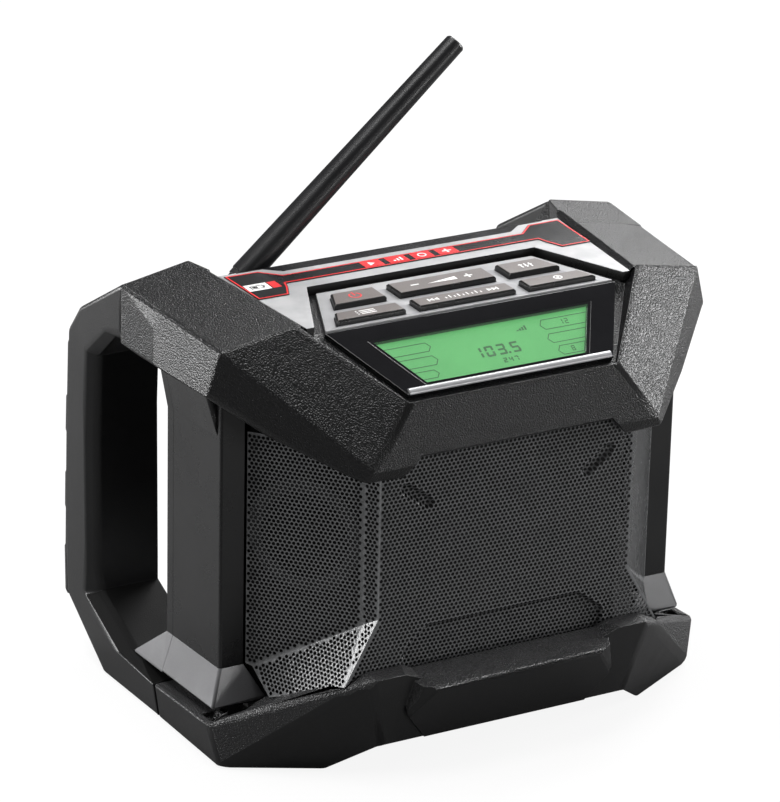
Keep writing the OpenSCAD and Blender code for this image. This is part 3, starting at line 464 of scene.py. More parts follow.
# %% The finishes
FINISH = {
    "hood_plastic": finish("grained_hood", (0.003, 0.003, 0.0035), 0.31, 0.9, 1300.0, 0.00026, pits=0.4,
                           dust=0.15, dull=0.02),
    "housing_plastic": finish("smooth_housing", (0.006, 0.006, 0.0065), 0.30, 0.22, 3200.0, 0.00004,
                              pits=0.1),
    "bumper_rubber": finish("bumper_rubber", (0.006, 0.006, 0.0065), 0.36, 0.5, 2000.0, 0.00010, pits=0.2),
    # Partly painted highlight: the bumper's coarse grain is real, its paler grey stands in for the light the
    # upper faces catch.
    "bumper_grain": finish("bumper_grain", (0.028, 0.028, 0.029), 0.34, 1.0, 1300.0, 0.00036, pits=0.4),
    "grip_rubber": finish("grip_rubber", (0.008, 0.008, 0.009), 0.48, 0.5, 1900.0, 0.0001),
    "grille_steel": finish("grille_paint", (0.13, 0.132, 0.135), 0.28, 0.9, 900.0, 0.00012, wear=0.9),
    "baffle_plastic": finish("baffle", (0.004, 0.004, 0.004), 0.8, 0.3),
    "speaker_steel": finish("speaker_basket", (0.05, 0.05, 0.052), 0.4, 0.1, metallic=0.6),
    # Painted shade: the floor of the loops' holes is darker and less shiny than the loops, for the shadow
    # there.
    "loop_inner": finish("loop_inner", (0.004, 0.004, 0.004), 0.55, 0.4, 1900.0, 0.0001, shine=0.1,
                         dust=0.1, wear=0.0),
    # Painted shade: the walls of the grille's holes are near black, for the dark inside of the holes.
    "hole_wall": finish("hole_wall", (0.01, 0.01, 0.01), 0.5, 0.2),
    "cone_paper": finish("cone_pulp", (0.012, 0.012, 0.012), 0.8, 0.8, 900.0, 0.0002),
    "silver_plastic": finish("silver_paint", (0.25, 0.25, 0.26), 0.50, 0.12, 4200.0, 0.00002, metallic=0.25,
                             worn=(0.6, 0.6, 0.6), pits=0.06, dust=0.1),
    "label_film": finish("label_film", (0.006, 0.006, 0.007), 0.28, 0.02, 3000.0, 0.00001, dust=0.2),
    # Painted highlight: the skirt's pale grey stands in for the light its black facets catch.
    "skirt_satin": finish("skirt_satin", (0.15, 0.15, 0.155), 0.24, 0.3, 2600.0, 0.00004, pits=0.1,
                          dust=0.1, dull=0.04),
    # Painted shade: this black goes on key sides and the deck's upright walls, for the shadow there.
    "key_side": finish("key_side", (0.006, 0.006, 0.006), 0.3, 0.1, 3600.0, 0.00003),
    "mat_rubber": finish("keypad_rubber", (0.012, 0.012, 0.012), 0.6, 0.3),
    "key_plastic": finish("key_plastic", (0.115, 0.100, 0.095), 0.42, 0.4, 3600.0, 0.00004, dust=0.15),
    "bezel_gloss": finish("bezel_gloss", (0.004, 0.004, 0.005), 0.10, 0.02, 3000.0, 0.00001, coat=0.15,
                          dull=0.05, dust=0.12),
    "circuit_board": finish("circuit_board", (0.02, 0.12, 0.05), 0.35, 0.2, 1500.0, 0.00005),
    "dock_plastic": finish("dock_plastic", (0.016, 0.016, 0.017), 0.45, 0.4, 2200.0, 0.00006),
    "contact_brass": finish("contact_brass", (0.72, 0.53, 0.25), 0.3, 0.1, 2600.0, 0.00002, metallic=1.0,
                            worn=(0.8, 0.62, 0.35), pits=0.1),
    "socket_plastic": finish("socket_plastic", (0.02, 0.02, 0.02), 0.4, 0.2, 2600.0, 0.00004),
    "cover_rubber": finish("cover_rubber", (0.014, 0.014, 0.015), 0.55, 0.4, 2200.0, 0.00006),
    "fastener_steel": finish("fastener_steel", (0.45, 0.45, 0.46), 0.34, 0.2, 1800.0, 0.00003, metallic=1.0,
                             worn=(0.6, 0.6, 0.6), pits=0.15),
    "hinge_plastic": finish("hinge_plastic", (0.012, 0.012, 0.013), 0.4, 0.2, 2600.0, 0.00004),
    "antenna_rubber": finish("antenna_rubber", (0.006, 0.006, 0.007), 0.34, 0.35, 2000.0, 0.00006,
                             dust=0.25),
}
print("finishes", len(FINISH))

# %% [markdown]
# ## Pieces on their bodies
# Every finished mesh becomes an object that moves with one body of the frame.
# A piece that stands for a solid takes that solid's body and material slot
# from the record, and hides the solid, which stays in the frame unseen.

# %% Keeping a piece
SLOT = {p["node"]: p["material_slot"] for p in frame["record"]["subparts"]}


def keep(name, data, node=None, body=None, slot=None, material=None):
    """Puts a finished bmesh in the scene as a piece that rides on its body."""
    mesh = bpy.data.meshes.new(name)
    data.to_mesh(mesh)
    data.free()
    piece = bpy.data.objects.new(name, mesh)
    bpy.context.scene.collection.objects.link(piece)
    body = body or (frame["nodes"][node]["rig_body"] if node else "radio")
    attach(piece, body)
    if node:
        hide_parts(node)
    slot = slot or (SLOT[node] if node else None)
    if material or slot in FINISH:
        mesh.materials.append(material or FINISH[slot])
    return piece


print("slots", len(set(SLOT.values())))

# %% [markdown]
# ## Soft edges
# The solids have knife edges, but moulded plastic never does: the mould's
# corners are rounded, and that is where a dark object catches light. For a
# small piece we copy the solid's mesh, join its triangles into flat faces and
# bevel whatever is sharp. A Weighted Normal modifier then keeps the flat faces
# flat in the shading.

# %% Copies with a fine bevel
SAME_POINT, FLAT_ANGLE = 3e-6, math.radians(0.7)
SHARP, CREASE_ANGLE = 32, 38


def copied(node, whole=True):
    """A node's solid as a bmesh, with its flat faces joined unless they have holes."""
    data = bmesh.new()
    data.from_mesh(frame["nodes"][node].data)
    bmesh.ops.remove_doubles(data, verts=data.verts, dist=SAME_POINT)
    if whole:
        bmesh.ops.dissolve_limit(data, angle_limit=FLAT_ANGLE, verts=data.verts, edges=data.edges)
    return data


def turn_at(edge):
    """How far the surface turns at an edge, in degrees."""
    if len(edge.link_faces) != 2:
        return 0.0
    return math.degrees(edge.calc_face_angle(0.0))


def bevel(data, edges, width, steps):
    if edges:
        bmesh.ops.bevel(data, geom=edges, offset=width * MM, offset_type="OFFSET", segments=steps,
                        profile=0.5, affect="EDGES", clamp_overlap=True, miter_outer="ARC",
                        miter_inner="SHARP")


def shade(data, angle=CREASE_ANGLE):
    """Smooth shading inside the bevels, with a crease where faces still meet sharply."""
    for face in data.faces:
        face.smooth = True
    for edge in data.edges:
        edge.smooth = len(edge.link_faces) == 2 and math.degrees(edge.calc_face_angle(0.0)) < angle


def softened(node, fine=0.3, whole=True):
    """A copy of a small piece with a fine bevel on what is sharp."""
    data = copied(node, whole)
    bevel(data, [e for e in data.edges if turn_at(e) > SHARP], fine, 2)
    shade(data)
    piece = keep("visible_" + node, data, node)
    weighted = piece.modifiers.new("even_shading", "WEIGHTED_NORMAL")
    weighted.keep_sharp = True
    return piece


print("fine bevel ready")

# %% [markdown]
# ### Flat facets
# A large moulding is made of broad facets, and some of them are cut into
# slightly turned triangles. We number the facets, letting a number spread over
# edges that hardly turn, and give every corner of a facet the same normal. On
# a bevel the normal turns from one facet to the next, so it looks round.

# %% Facet numbers and normals
SAME_WAY = 0.88


def number_facets(data, join, merged):
    """Gives neighbouring faces that hardly turn one facet number, and returns each facet's direction."""
    layer = data.faces.layers.int.new("facet")
    directions = {}
    for seed in sorted(data.faces, key=lambda f: -f.calc_area()):
        if seed[layer]:
            continue
        number = len(directions) + 1
        seed[layer] = number
        queue, total = [seed], Vector()
        while queue:
            face = queue.pop()
            total += face.normal * face.calc_area()
            for edge in face.edges:
                for other in edge.link_faces:
                    near = turn_at(edge) < join or merged(edge)
                    if not other[layer] and near and other.normal.dot(seed.normal) > SAME_WAY:
                        other[layer] = number
                        queue.append(other)
        directions[number] = total.normalized() if total.length > 0 else seed.normal.copy()
    return layer, directions


def facet_normals(data, layer, directions):
    """One normal per face corner: flat on a facet, and turning smoothly across a bevel."""
    normals = []
    for face in data.faces:
        for loop in face.loops:
            if face[layer]:
                normals.append(directions[face[layer]])
                continue
            touching = [e for e in face.edges if loop.vert in e.verts]
            beside = {f[layer] for e in touching for f in e.link_faces if f[layer]}
            around = beside or {f[layer] for f in loop.vert.link_faces if f[layer]}
            total = Vector()
            for number in around:
                total += directions[number]
            if not around:
                for f in loop.vert.link_faces:
                    total += f.normal
            normals.append(total.normalized() if total.length > 1e-6 else face.normal.copy())
    return normals


print("facet tools ready")

# %% [markdown]
# ### Room for a bevel
# A bevel that is wider than the face beside it runs into the next edge and
# folds over. So each edge gets its own width: the one that is wanted, or a
# little under half of the distance to its nearest neighbour. Blender's Bevel
# modifier takes such widths from a weight on every edge.

# %% Bevels by weight
ROOM_SHARE = 0.45
PLACES_ON_EDGE = (0.05, 0.5, 0.95)


def distance_to(edge, point):
    a, b = (v.co for v in edge.verts)
    spot, share = intersect_point_line(point, a, b)
    return ((a if share < 0 else b if share > 1 else spot) - point).length


def room_beside(edge, wide):
    """The width, in metres, that a bevel of this edge can have without running into its neighbours."""
    start, end = (v.co for v in edge.verts)
    way = (end - start).normalized()
    room = wide * MM
    for face in edge.link_faces:
        for other in face.edges:
            shared = [v for v in other.verts if v in edge.verts]
            if other == edge:
                continue
            if shared:
                far = (other.other_vert(shared[0]).co - shared[0].co).cross(way).length
            else:
                far = min(distance_to(other, start.lerp(end, share)) for share in PLACES_ON_EDGE)
            room = min(room, ROOM_SHARE * far)
    return room


def rounded(data, most, steps):
    """A new bmesh where every edge is rounded by its weight times most. The round faces get material 1."""
    mesh = bpy.data.meshes.new("rounding")
    data.to_mesh(mesh)
    data.free()
    mesh.materials.append(None)
    mesh.materials.append(None)
    holder = bpy.data.objects.new("rounding", mesh)
    bpy.context.scene.collection.objects.link(holder)
    tool = holder.modifiers.new("rounding", "BEVEL")
    tool.limit_method, tool.width, tool.segments = "WEIGHT", most, steps
    tool.miter_outer, tool.material, tool.use_clamp_overlap = "MITER_ARC", 1, True
    made = bmesh.new()
    made.from_mesh(holder.evaluated_get(bpy.context.evaluated_depsgraph_get()).data)
    bpy.data.objects.remove(holder)
    bpy.data.meshes.remove(mesh)
    return made


print("bevel tools ready")

# %% [markdown]
# ### Large copies
# This puts the tools together: copy the solid, close up points that lie almost
# on each other, number the facets, bevel the chosen ridges broadly and the
# other sharp edges finely, and set the normals.

# %% Moulded copies
CLOSE_UP, CLOSE_UP_RIDGE, RIDGE_FROM_X = 0.12, 0.8, 90
BEVEL_STEPS = 4


def moulded(node, broad, fine, choose, join, merged, reshape=None):
    """A copy of a large moulding: broad bevels on chosen ridges, fine ones elsewhere, flat facets."""
    data = copied(node)
    if reshape:
        reshape(data)
    bmesh.ops.remove_doubles(data, verts=data.verts, dist=CLOSE_UP * MM)
    reach = CLOSE_UP_RIDGE * MM
    on_ridges = {v for e in data.edges if choose(e) for v in e.verts if abs(v.co.x) > RIDGE_FROM_X * MM}
    on_ridges |= {e.other_vert(v) for v in on_ridges for e in v.link_edges if e.calc_length() < reach}
    bmesh.ops.remove_doubles(data, verts=[v for v in data.verts if v in on_ridges], dist=reach)
    layer, directions = number_facets(data, join, merged)
    weight = data.edges.layers.float.new("bevel_weight_edge")
    for edge in data.edges:
        if len({f[layer] for f in edge.link_faces}) == 2:
            wide = broad if choose(edge) else fine if turn_at(edge) > SHARP else 0
            edge[weight] = room_beside(edge, wide) / (broad * MM)
    data = rounded(data, broad * MM, BEVEL_STEPS)
    layer = data.faces.layers.int["facet"]
    for face in data.faces:
        if face.material_index == 1:
            face[layer] = 0
        face.material_index = 0
        face.smooth = True
    normals = facet_normals(data, layer, directions)
    piece = keep("visible_" + node, data, node)
    piece.data.normals_split_custom_set([tuple(n) for n in normals])
    return piece


print("moulded copies ready")

# %% [markdown]
# ## Hood, housing, bumper and loops
# These are the big mouldings. The hood's facets meet in soft ridges, rounded
# over about three millimetres to either side. The bumper and the loops are
# nearly as round, and the case is crisper. First we say which edges count as
# ridges: long ones that point outwards. The seam between the front and the
# rear half stays a fine line, so edges that lie in it are left out.

# %% Which edges are ridges
SEAM_D, SEAM_SLACK = 122, 0.2
RIDGE_LENGTH = 9
BROW_HEIGHT, BROW_IN, BROW_OUT, BROW_SLACK = 0.19, 57.5, 132.1, 2


def depth_of(v):
    return (v.co.y - LIP_Y) / MM


def outer_ridge(e):
    outside = e.is_convex and e.calc_length() > RIDGE_LENGTH * MM
    return outside and not all(abs(depth_of(v) - SEAM_D) < SEAM_SLACK for v in e.verts)


def brow_crease(edge):
    """The long edge across the facet beside the display, which is really one warped face."""
    a, b = sorted(edge.verts, key=lambda v: v.co.y)
    inner, outer = abs(abs(a.co.x) / MM - BROW_IN), abs(abs(b.co.x) / MM - BROW_OUT)
    return a.co.z > BROW_HEIGHT and inner < BROW_SLACK and outer < BROW_SLACK


print("ridges are edges over", RIDGE_LENGTH, "mm long")

# %% [markdown]
# ### The foot of the case
# At its front corners the case widens into a skirt above the bumper's gutter.
# The skirt's front facet runs down as one plane, so three of its points are moved before the bevels are
# made. Some faces of a moulding get their own finish from a second material slot. The skirt's pale satin
# grey is painted highlight: it stands in for the lamp light that the facets of the case's black plastic
# catch there. The dark floor of the loops' holes is painted shade.

# %% Skirt and second finishes
SKIRT_MOVES = (((114, 61.4, 32.2), (104.3, 67.3, 28.4)), ((114, 62.8, 27), (104.3, 67.8, 26.3)),
               ((114, 62.5, 35.4), (109.2, 69.4, 37.2)))


def flat_skirt(data):
    """Turns the foot of the housing's front corners, so that the facet above the gutter is one plane."""
    for vert in data.verts:
        side = math.copysign(1, vert.co.x)
        for old, new in SKIRT_MOVES:
            if (vert.co - at(side * old[0], *old[1:])).length < MM:
                vert.co = at(side * new[0], *new[1:])


def repaint(piece, finish_name, wanted):
    """Gives some faces of a piece a second material."""
    piece.data.materials.append(FINISH[finish_name])
    for face in piece.data.polygons:
        if wanted(face):
            face.material_index = len(piece.data.materials) - 1


print("skirt points to move", 2 * len(SKIRT_MOVES))

# %% [markdown]
# ### Making them
# Each entry of the first table names a moulding, the width of its broad and its
# fine bevels in millimetres, and the turn in degrees below which two faces
# count as one facet. The second table says which faces get the second finish.

# %% Large mouldings
SKIRT_TOP, HOLE_FOOT = 0.0462, 0.06
LEANS_DOWN, FACES_UP, UNDERSIDE = -0.2, 0.6, -0.05
MOULDINGS = (("front_hood", 3.2, 0.3, 17), ("rear_hood", 3.2, 0.3, 17), ("front_housing", 1.6, 0.25, 6),
             ("rear_housing", 1.6, 0.25, 6), ("dock_housing", 1.5, 0.5, 6), ("front_bumper", 2.7, 0.3, 12),
             ("side_loop_left", 3.0, 0.5, 17), ("side_loop_right", 3.0, 0.5, 17))


# These faces get the pale skirt finish, which is painted highlight.
def on_skirt(face):
    return face.center.z < SKIRT_TOP and face.normal.z > LEANS_DOWN


# Faces on the floor of the loops' holes, which get the painted shade finish.
def hole_floor(face):
    return face.center.z < HOLE_FOOT and face.normal.z > FACES_UP


# The bumper's faces that don't face down get the grained finish, whose paler grey is painted highlight.
SECOND_FINISH = {"front_housing": ("skirt_satin", on_skirt), "rear_housing": ("skirt_satin", on_skirt),
                 "side_loop_left": ("loop_inner", hole_floor), "side_loop_right": ("loop_inner", hole_floor),
                 "front_bumper": ("bumper_grain", lambda face: face.normal.z > UNDERSIDE)}

for node, broad, fine, join in MOULDINGS:
    reshape = flat_skirt if node == "front_housing" else None
    piece = moulded(node, broad, fine, outer_ridge, join, brow_crease, reshape)
    if node in SECOND_FINISH:
        repaint(piece, *SECOND_FINISH[node])
    print(node, len(piece.data.polygons), "faces")

# %% [markdown]
# ## Smaller pieces
# Everything else takes a fine bevel only. Plates with windows keep their triangles, because joined faces
# can't have holes. The upright walls of the deck's surround are painted black as painted shade, for the dark
# channel round the key plate, so that its silver ends at a clear line.

# %% Smaller pieces
UPRIGHT = 0.5
FINE_BEVELS = (("base_pan", 0.4), ("battery_rails", 0.4), ("battery_contacts", 0.15), ("socket_cover", 0.4),
               ("antenna_base", 0.4), ("keypad_mat", 0.2), ("control_board", 0.15), ("amplifier_board", 0.2),
               ("label_strip", 0.08), ("grip_left", 0.5), ("grip_right", 0.5))
WITH_WINDOWS = (("deck_frame", 0.35), ("key_plate", 0.2), ("display_bezel", 0.35), ("speaker_baffle", 0.3))
SMALL = ("speaker_left", "speaker_right", "cone_left", "cone_right", "aux_socket", "dc_socket", "cover_pin",
         "antenna_pin", "antenna_knuckle", "antenna_mast", "housing_screws")

for node, fine in FINE_BEVELS:
    softened(node, fine)
for node, fine in WITH_WINDOWS:
    piece = softened(node, fine, whole=False)
    if node == "deck_frame":
        repaint(piece, "key_side", lambda face: abs(face.normal.z) < UPRIGHT)
for node in SMALL:
    softened(node, fine=0.15)
print("smaller pieces", len(FINE_BEVELS) + len(WITH_WINDOWS) + len(SMALL))

# %% [markdown]
# ## Thin prints and signs
# A printed sign is a film a few hundredths of a millimetre thick. We draw its
# outline in millimetres on a plane, the deck or the sloping display, and give
# it a little thickness so that it stays clear of what is under it. The plane
# is a function that turns across, along and up into a point of the frame.

# %% Planes
DISPLAY_TILT = math.radians(28.5)
CREASE, DECK_Z, KEY_TOP, LABEL_TOP = 58, 217.8, 220.5, 221.3


def on_level(z):
    return lambda u, v, h: at(u, v, z + h)


def on_display(base):
    """u is across, v runs down the slope from the crease, h stands off the display's face."""
    sine, cosine = math.sin(DISPLAY_TILT), math.cos(DISPLAY_TILT)

    def place(u, v, h):
        off = base + h
        return at(u, CREASE - v * cosine - off * sine, DECK_Z - v * sine + off * cosine)

    return place


print("planes ready")

# %% [markdown]
# ### Outlines
# An outline is a list of points. A line round a shape is the strip between the
# shape and a smaller copy, and that copy is made by moving every side inwards.

# %% Outlines


def area_of(outline):
    pairs = zip(outline, outline[1:] + outline[:1])
    return sum(a[0] * b[1] - b[0] * a[1] for a, b in pairs) / 2


def inset(outline, by):
    """The outline with every side moved inwards."""
    turn = 1 if area_of(outline) > 0 else -1
    moved = []
    for i, point in enumerate(outline):
        before, after = outline[i - 1], outline[(i + 1) % len(outline)]
        a = Vector((point[0] - before[0], point[1] - before[1])).normalized()
        b = Vector((after[0] - point[0], after[1] - point[1])).normalized()
        na, nb = Vector((-a.y, a.x)) * turn, Vector((-b.y, b.x)) * turn
        mitre = (na + nb) / (1 + na.dot(nb))
        moved.append((point[0] + mitre.x * by, point[1] + mitre.y * by))
    return moved


def circle(u, v, r, count=28, first=0, last=360):
    span = [math.radians(first + (last - first) * i / count) for i in range(count + (last - first < 360))]
    return [(u + r * math.cos(a), v + r * math.sin(a)) for a in span]


def box(u0, v0, u1, v1):
    return [(u0, v0), (u1, v0), (u1, v1), (u0, v1)]


def both_sides(half):
    return half + [(-u, v) for u, v in reversed(half)]


print("outline helpers ready")

# %% [markdown]
# ### Prints
# A print is made of prisms over outlines and of bands between two of them, all
# a few hundredths of a millimetre thick. The shapes of one print are one piece.

# %% Prints


def prism(data, outline, place, thick):
    low, high = ([data.verts.new(place(u, v, h)) for u, v in outline] for h in (0, thick))
    data.faces.new(high)
    data.faces.new(low[::-1])
    for i in range(len(outline)):
        j = (i + 1) % len(outline)
        data.faces.new((low[i], low[j], high[j], high[i]))


def band(data, outer, inner, place, thick, closed=True):
    """The strip between two outlines of the same number of points."""
    rows = [[data.verts.new(place(u, v, h)) for u, v in line] for line, h in
            ((outer, 0), (outer, thick), (inner, thick), (inner, 0))]
    count = len(outer)
    for i in range(count if closed else count - 1):
        j = (i + 1) % count
        for k in range(4):
            a, b = rows[k], rows[(k + 1) % 4]
            data.faces.new((a[i], a[j], b[j], b[i]))
    if not closed:
        data.faces.new([row[0] for row in rows])
        data.faces.new([row[-1] for row in rows][::-1])


def printed(name, shapes, place, material, body="radio", thick=0.06):
    """One piece from outlines: a list of points, or a pair for a ring. A third entry leaves a ring open."""
    data = bmesh.new()
    for shape in shapes:
        if isinstance(shape, tuple):
            band(data, shape[0], shape[1], place, thick, len(shape) == 2)
        else:
            prism(data, shape, place, thick)
    bmesh.ops.recalc_face_normals(data, faces=data.faces)
    keep(name, data, body=body, material=material)


ink_white = finish("white_print", (0.70, 0.70, 0.68), 0.5, 0.05, 3000.0, 0.00001, pits=0.05, dust=0.1)
ink_red = finish("red_print", (0.62, 0.012, 0.016), 0.35, 0.05, 3000.0, 0.00001, pits=0.05, dust=0.1,
                 coat=0.3)
print("inks", ink_white.name, ink_red.name)

# %% [markdown]
# ## Keys
# Each key cap is a block with its top edge taken off. The tops are a warm grey, and the sides are painted
# black as painted shade, for the shadow on the keys' sides, so the key stands out from the silver plate.

# %% Key caps
TOP_FACING = 0.85
for node in ("power_key", "mode_key", "volume_key", "channel_key", "eq_key", "select_key"):
    cap = softened(node, 0.3)
    repaint(cap, "key_side", lambda face: face.normal.z < TOP_FACING)
print("key caps done")

# %% [markdown]
# ### Signs on the keys
# The tops carry marks of a general kind, as on any player: a power sign, a
# minus and a plus with a wedge between them, arrows beside a tuning scale,
# sliders, a list, and a dot in a ring. Each sign moves with its own key.

# %% Signs on the keys


def arrow(u, v, size, way):
    return [(u, v - size), (u + way * size * 1.5, v), (u, v + size)]


BACK_ROW, FRONT_ROW = 87.7, 66.7
key_tops = on_level(KEY_TOP)


def bar(u, v, half_u, half_v):
    return box(u - half_u, v - half_v, u + half_u, v + half_v)


arc = circle(-47.5, BACK_ROW, 3.3, 24, 120, 420), circle(-47.5, BACK_ROW, 2.6, 24, 120, 420), "open"
power = [arc, box(-47.9, BACK_ROW, -47.1, BACK_ROW + 4.2)]
volume = [box(-17, BACK_ROW - 0.5, -12.6, BACK_ROW + 0.5), box(12.6, BACK_ROW - 0.5, 17, BACK_ROW + 0.5),
          box(14.3, BACK_ROW + 0.5, 15.3, BACK_ROW + 2.3), box(14.3, BACK_ROW - 2.3, 15.3, BACK_ROW - 0.5),
          [(-8, BACK_ROW - 1.2), (8, BACK_ROW - 1.8), (8, BACK_ROW + 1.8)]]
channel = [arrow(way * start, FRONT_ROW, 1.6, way) for way in (-1, 1) for start in (13.5, 16.2)]
channel += [bar(way * 18.9, FRONT_ROW, 0.35, 1.6) for way in (-1, 1)]
channel += [box(2.4 * i - 0.3, FRONT_ROW - 1.5, 2.4 * i + 0.3, FRONT_ROW + (1.6 if i % 2 else 0.2))
            for i in range(-4, 5)]
lines = (-2.1, -0.35, 1.4)
mode = [box(-56, FRONT_ROW + k, -48, FRONT_ROW + k + 0.7) for k in lines]
mode += [box(-58, FRONT_ROW + k, -57.2, FRONT_ROW + k + 0.7) for k in lines]
eq = [box(47 + 2.6 * i, BACK_ROW - 2.4, 47.7 + 2.6 * i, BACK_ROW + 2.4) for i in (-1, 0, 1)]
eq += [box(46.3 + 2.6 * i, BACK_ROW + k, 48.4 + 2.6 * i, BACK_ROW + k + 0.9)
       for i, k in ((-1, 0.9), (0, -1.3), (1, 0.2))]
select = [(circle(53, FRONT_ROW, 2.3), circle(53, FRONT_ROW, 1.7)), circle(53, FRONT_ROW, 0.8)]

KEY_SIGNS = (("power_sign", power, ink_red, "power_button"),
             ("volume_signs", volume, ink_white, "volume_rocker"),
             ("channel_signs", channel, ink_white, "channel_rocker"),
             ("mode_sign", mode, ink_white, "mode_button"),
             ("eq_sign", eq, ink_white, "eq_button"),
             ("select_sign", select, ink_white, "select_button"))
for name, shapes, ink, body in KEY_SIGNS:
    printed(name, shapes, key_tops, ink, body)
    print(name, len(shapes), "shapes on", body)

# %% [markdown]
# ## The printed strip
# A thin film crosses the silver surround and widens at both ends. A red line
# follows its edge, and four red fields stand in the middle. Each field has a
# plain white shape. At the left end a narrow red field stands beside a pale one
# with a battery. Behind the film the deck is painted dark, up to the antenna's
# trough.

# %% Printed strip
FIELD_PITCH, FIELD_WIDE, FIRST_FIELD, PRINT_T = 13.9, 10.6, -25.8, 0.06
strip = both_sides([(67, 125.4), (76, 134.5), (94, 135), (92.5, 101), (76, 101), (72, 110), (70.5, 115)])
label, upper = on_level(LABEL_TOP), on_level(LABEL_TOP + PRINT_T)
printed("strip_outline", [(inset(strip, 0.35), inset(strip, 1.15))], label, ink_red)
fields = [FIRST_FIELD + FIELD_PITCH * i for i in range(4)]
red_fields = [box(u, 116.6, u + FIELD_WIDE, 124.0) for u in fields]
printed("strip_fields", red_fields + [box(-78.9, 111.6, -74.4, 119.8)], label, ink_red)
play, signal, ring, cross = fields
signs = [arrow(play + 3.6, 120.3, 2.1, 1)]
signs += [box(signal + 3 + 2 * i, 118.3, signal + 4 + 2 * i, 119.7 + 1.3 * i) for i in range(3)]
signs += [(circle(ring + 5.3, 120.3, 2.4), circle(ring + 5.3, 120.3, 1.7))]
signs += [box(cross + 2.8, 119.8, cross + 7.8, 120.8), box(cross + 4.8, 117.9, cross + 5.8, 119.8),
          box(cross + 4.8, 120.8, cross + 5.8, 122.7)]
printed("strip_signs", signs, upper, ink_white)
printed("pale_field", [box(-91.6, 111.6, -79.6, 119.8)], label, ink_white)
battery = [(box(-89.5, 113.7, -82.4, 117.7), box(-88.9, 114.3, -83, 117.1)),
           box(-82.4, 114.9, -81.6, 116.5), box(-88.4, 114.8, -85.6, 116.6)]
printed("battery_sign", battery, upper, FINISH["label_film"])
deck_shade = both_sides([(64, 130.8), (72, 137.3), (86, 137.4), (86, 138.3)])
surround_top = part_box("label_strip")[0][2] / MM
printed("deck_shade", [deck_shade], on_level(surround_top), FINISH["label_film"])
print("strip done, fields at", fields)

# %% [markdown]
# ## Display
# A backlit display is a green glowing plate under a clear cover. The cover is
# almost invisible apart from its gloss, so it gets a low Alpha and no bending
# of light. The plate glows by itself a little and takes lamp light as well.

# %% Display plate and cover
glass, tree = new_material("display_glass")
shader = tree.nodes.new("ShaderNodeBsdfPrincipled")
shader.inputs["Base Color"].default_value = (0.2, 0.4, 0.22, 1)
shader.inputs["Roughness"].default_value = 0.04
shader.inputs["Alpha"].default_value = 0.14
surface(tree, shader.outputs[0])
FINISH["display_glass"] = glass

lit, tree = new_material("display_light")
shader = tree.nodes.new("ShaderNodeBsdfPrincipled")
shader.inputs["Roughness"].default_value = 0.5
clouds = use(tree, handling, Cloud_size=18.0, Dust=0.0)
tint = blend(tree, clouds.outputs["Clouds"], (0.062, 0.32, 0.084), (0.076, 0.365, 0.098))
link(tree, tint, shader.inputs["Base Color"])
link(tree, tint, shader.inputs["Emission Color"])
shader.inputs["Emission Strength"].default_value = 0.35
surface(tree, shader.outputs[0])
FINISH["display_light"] = lit
softened("lcd_module", 0.1)
softened("display_window", 0.1)
print("display plate and cover done")

# %% [markdown]
# ### Digits
# Digits on such a display are made of seven bars, named a to g from the top
# round, with g in the middle. The table says which bars each digit lights.

# %% Digits
segment_ink = finish("segment_ink", (0.012, 0.07, 0.02), 0.5, 0.02, 3000.0, 0.00001, dust=0.0)
SEGMENTS = {"0": "abcdef", "1": "bc", "2": "abged", "3": "abgcd", "4": "fgbc", "5": "afgcd", "7": "abc",
            "8": "abcdefg"}


def digit(figure, u, v, wide, tall, line):
    """The segments of one figure whose upper left corner is at u, v."""
    gap, half = line * 0.35, tall / 2
    bars = {"a": box(u + gap, v, u + wide - gap, v + line),
            "g": box(u + gap, v + half - line / 2, u + wide - gap, v + half + line / 2),
            "d": box(u + gap, v + tall - line, u + wide - gap, v + tall),
            "f": box(u, v + gap, u + line, v + half - gap),
            "b": box(u + wide - line, v + gap, u + wide, v + half - gap),
            "e": box(u, v + half + gap, u + line, v + tall - gap),
            "c": box(u + wide - line, v + half + gap, u + wide, v + tall - gap)}
    return [bars[k] for k in SEGMENTS[figure]]


def figures(text, u, v, wide, tall, line, pitch):
    shapes = []
    for sign in text:
        if sign == ".":
            shapes.append(box(u - line, v + tall - line, u, v + tall))
            u += line
        else:
            shapes += digit(sign, u, v, wide, tall, line)
            u += pitch
    return shapes


print("digits", "".join(SEGMENTS))

# %% [markdown]
# ### Display signs
# The dark signs are thin pieces just over the plate: a large number and small
# ones, empty boxes and signal bars. A black ring follows the edge of the cover,
# so that the plate's own edge doesn't show.

# %% Display signs
SIGN_DEPTH, RING_DEPTH, BOX_LINE, RING_WIDE = -1.46, -0.19, 0.42, 1.5
signs = figures("103.5", -12, 24.6, 4.6, 6.6, 1.15, 6.4) + figures("247", 1, 33.2, 2.1, 3, 0.6, 3.1)
signs += [box(16 + 1.5 * i, 19.2 - 0.7 * (i + 1), 17 + 1.5 * i, 19.2) for i in range(4)]
empty_boxes = (
    [(-57, 15.8), (-33, 15.8), (-31, 18.6), (-33, 21.5), (-53.8, 21.5)],
    [(-52.3, 24), (-33, 24), (-31, 27), (-33, 30), (-49, 30)],
    [(-47.6, 32.4), (-36, 32.4), (-34, 35), (-36, 37.5), (-44.8, 37.5)],
    [(57, 15), (31, 15), (29, 18.3), (31, 21.4), (53.5, 21.4)],
    [(52, 24), (31, 24), (29, 27), (31, 30), (48.8, 30)],
    [(47.6, 32), (33, 32), (31, 35), (33, 38), (44.3, 38)])
signs += [(q, inset(q, BOX_LINE)) for q in empty_boxes]
signs += figures("12", 40, 16.6, 1.9, 3.2, 0.45, 3) + figures("8", 38.5, 33.4, 1.9, 3.2, 0.45, 3)
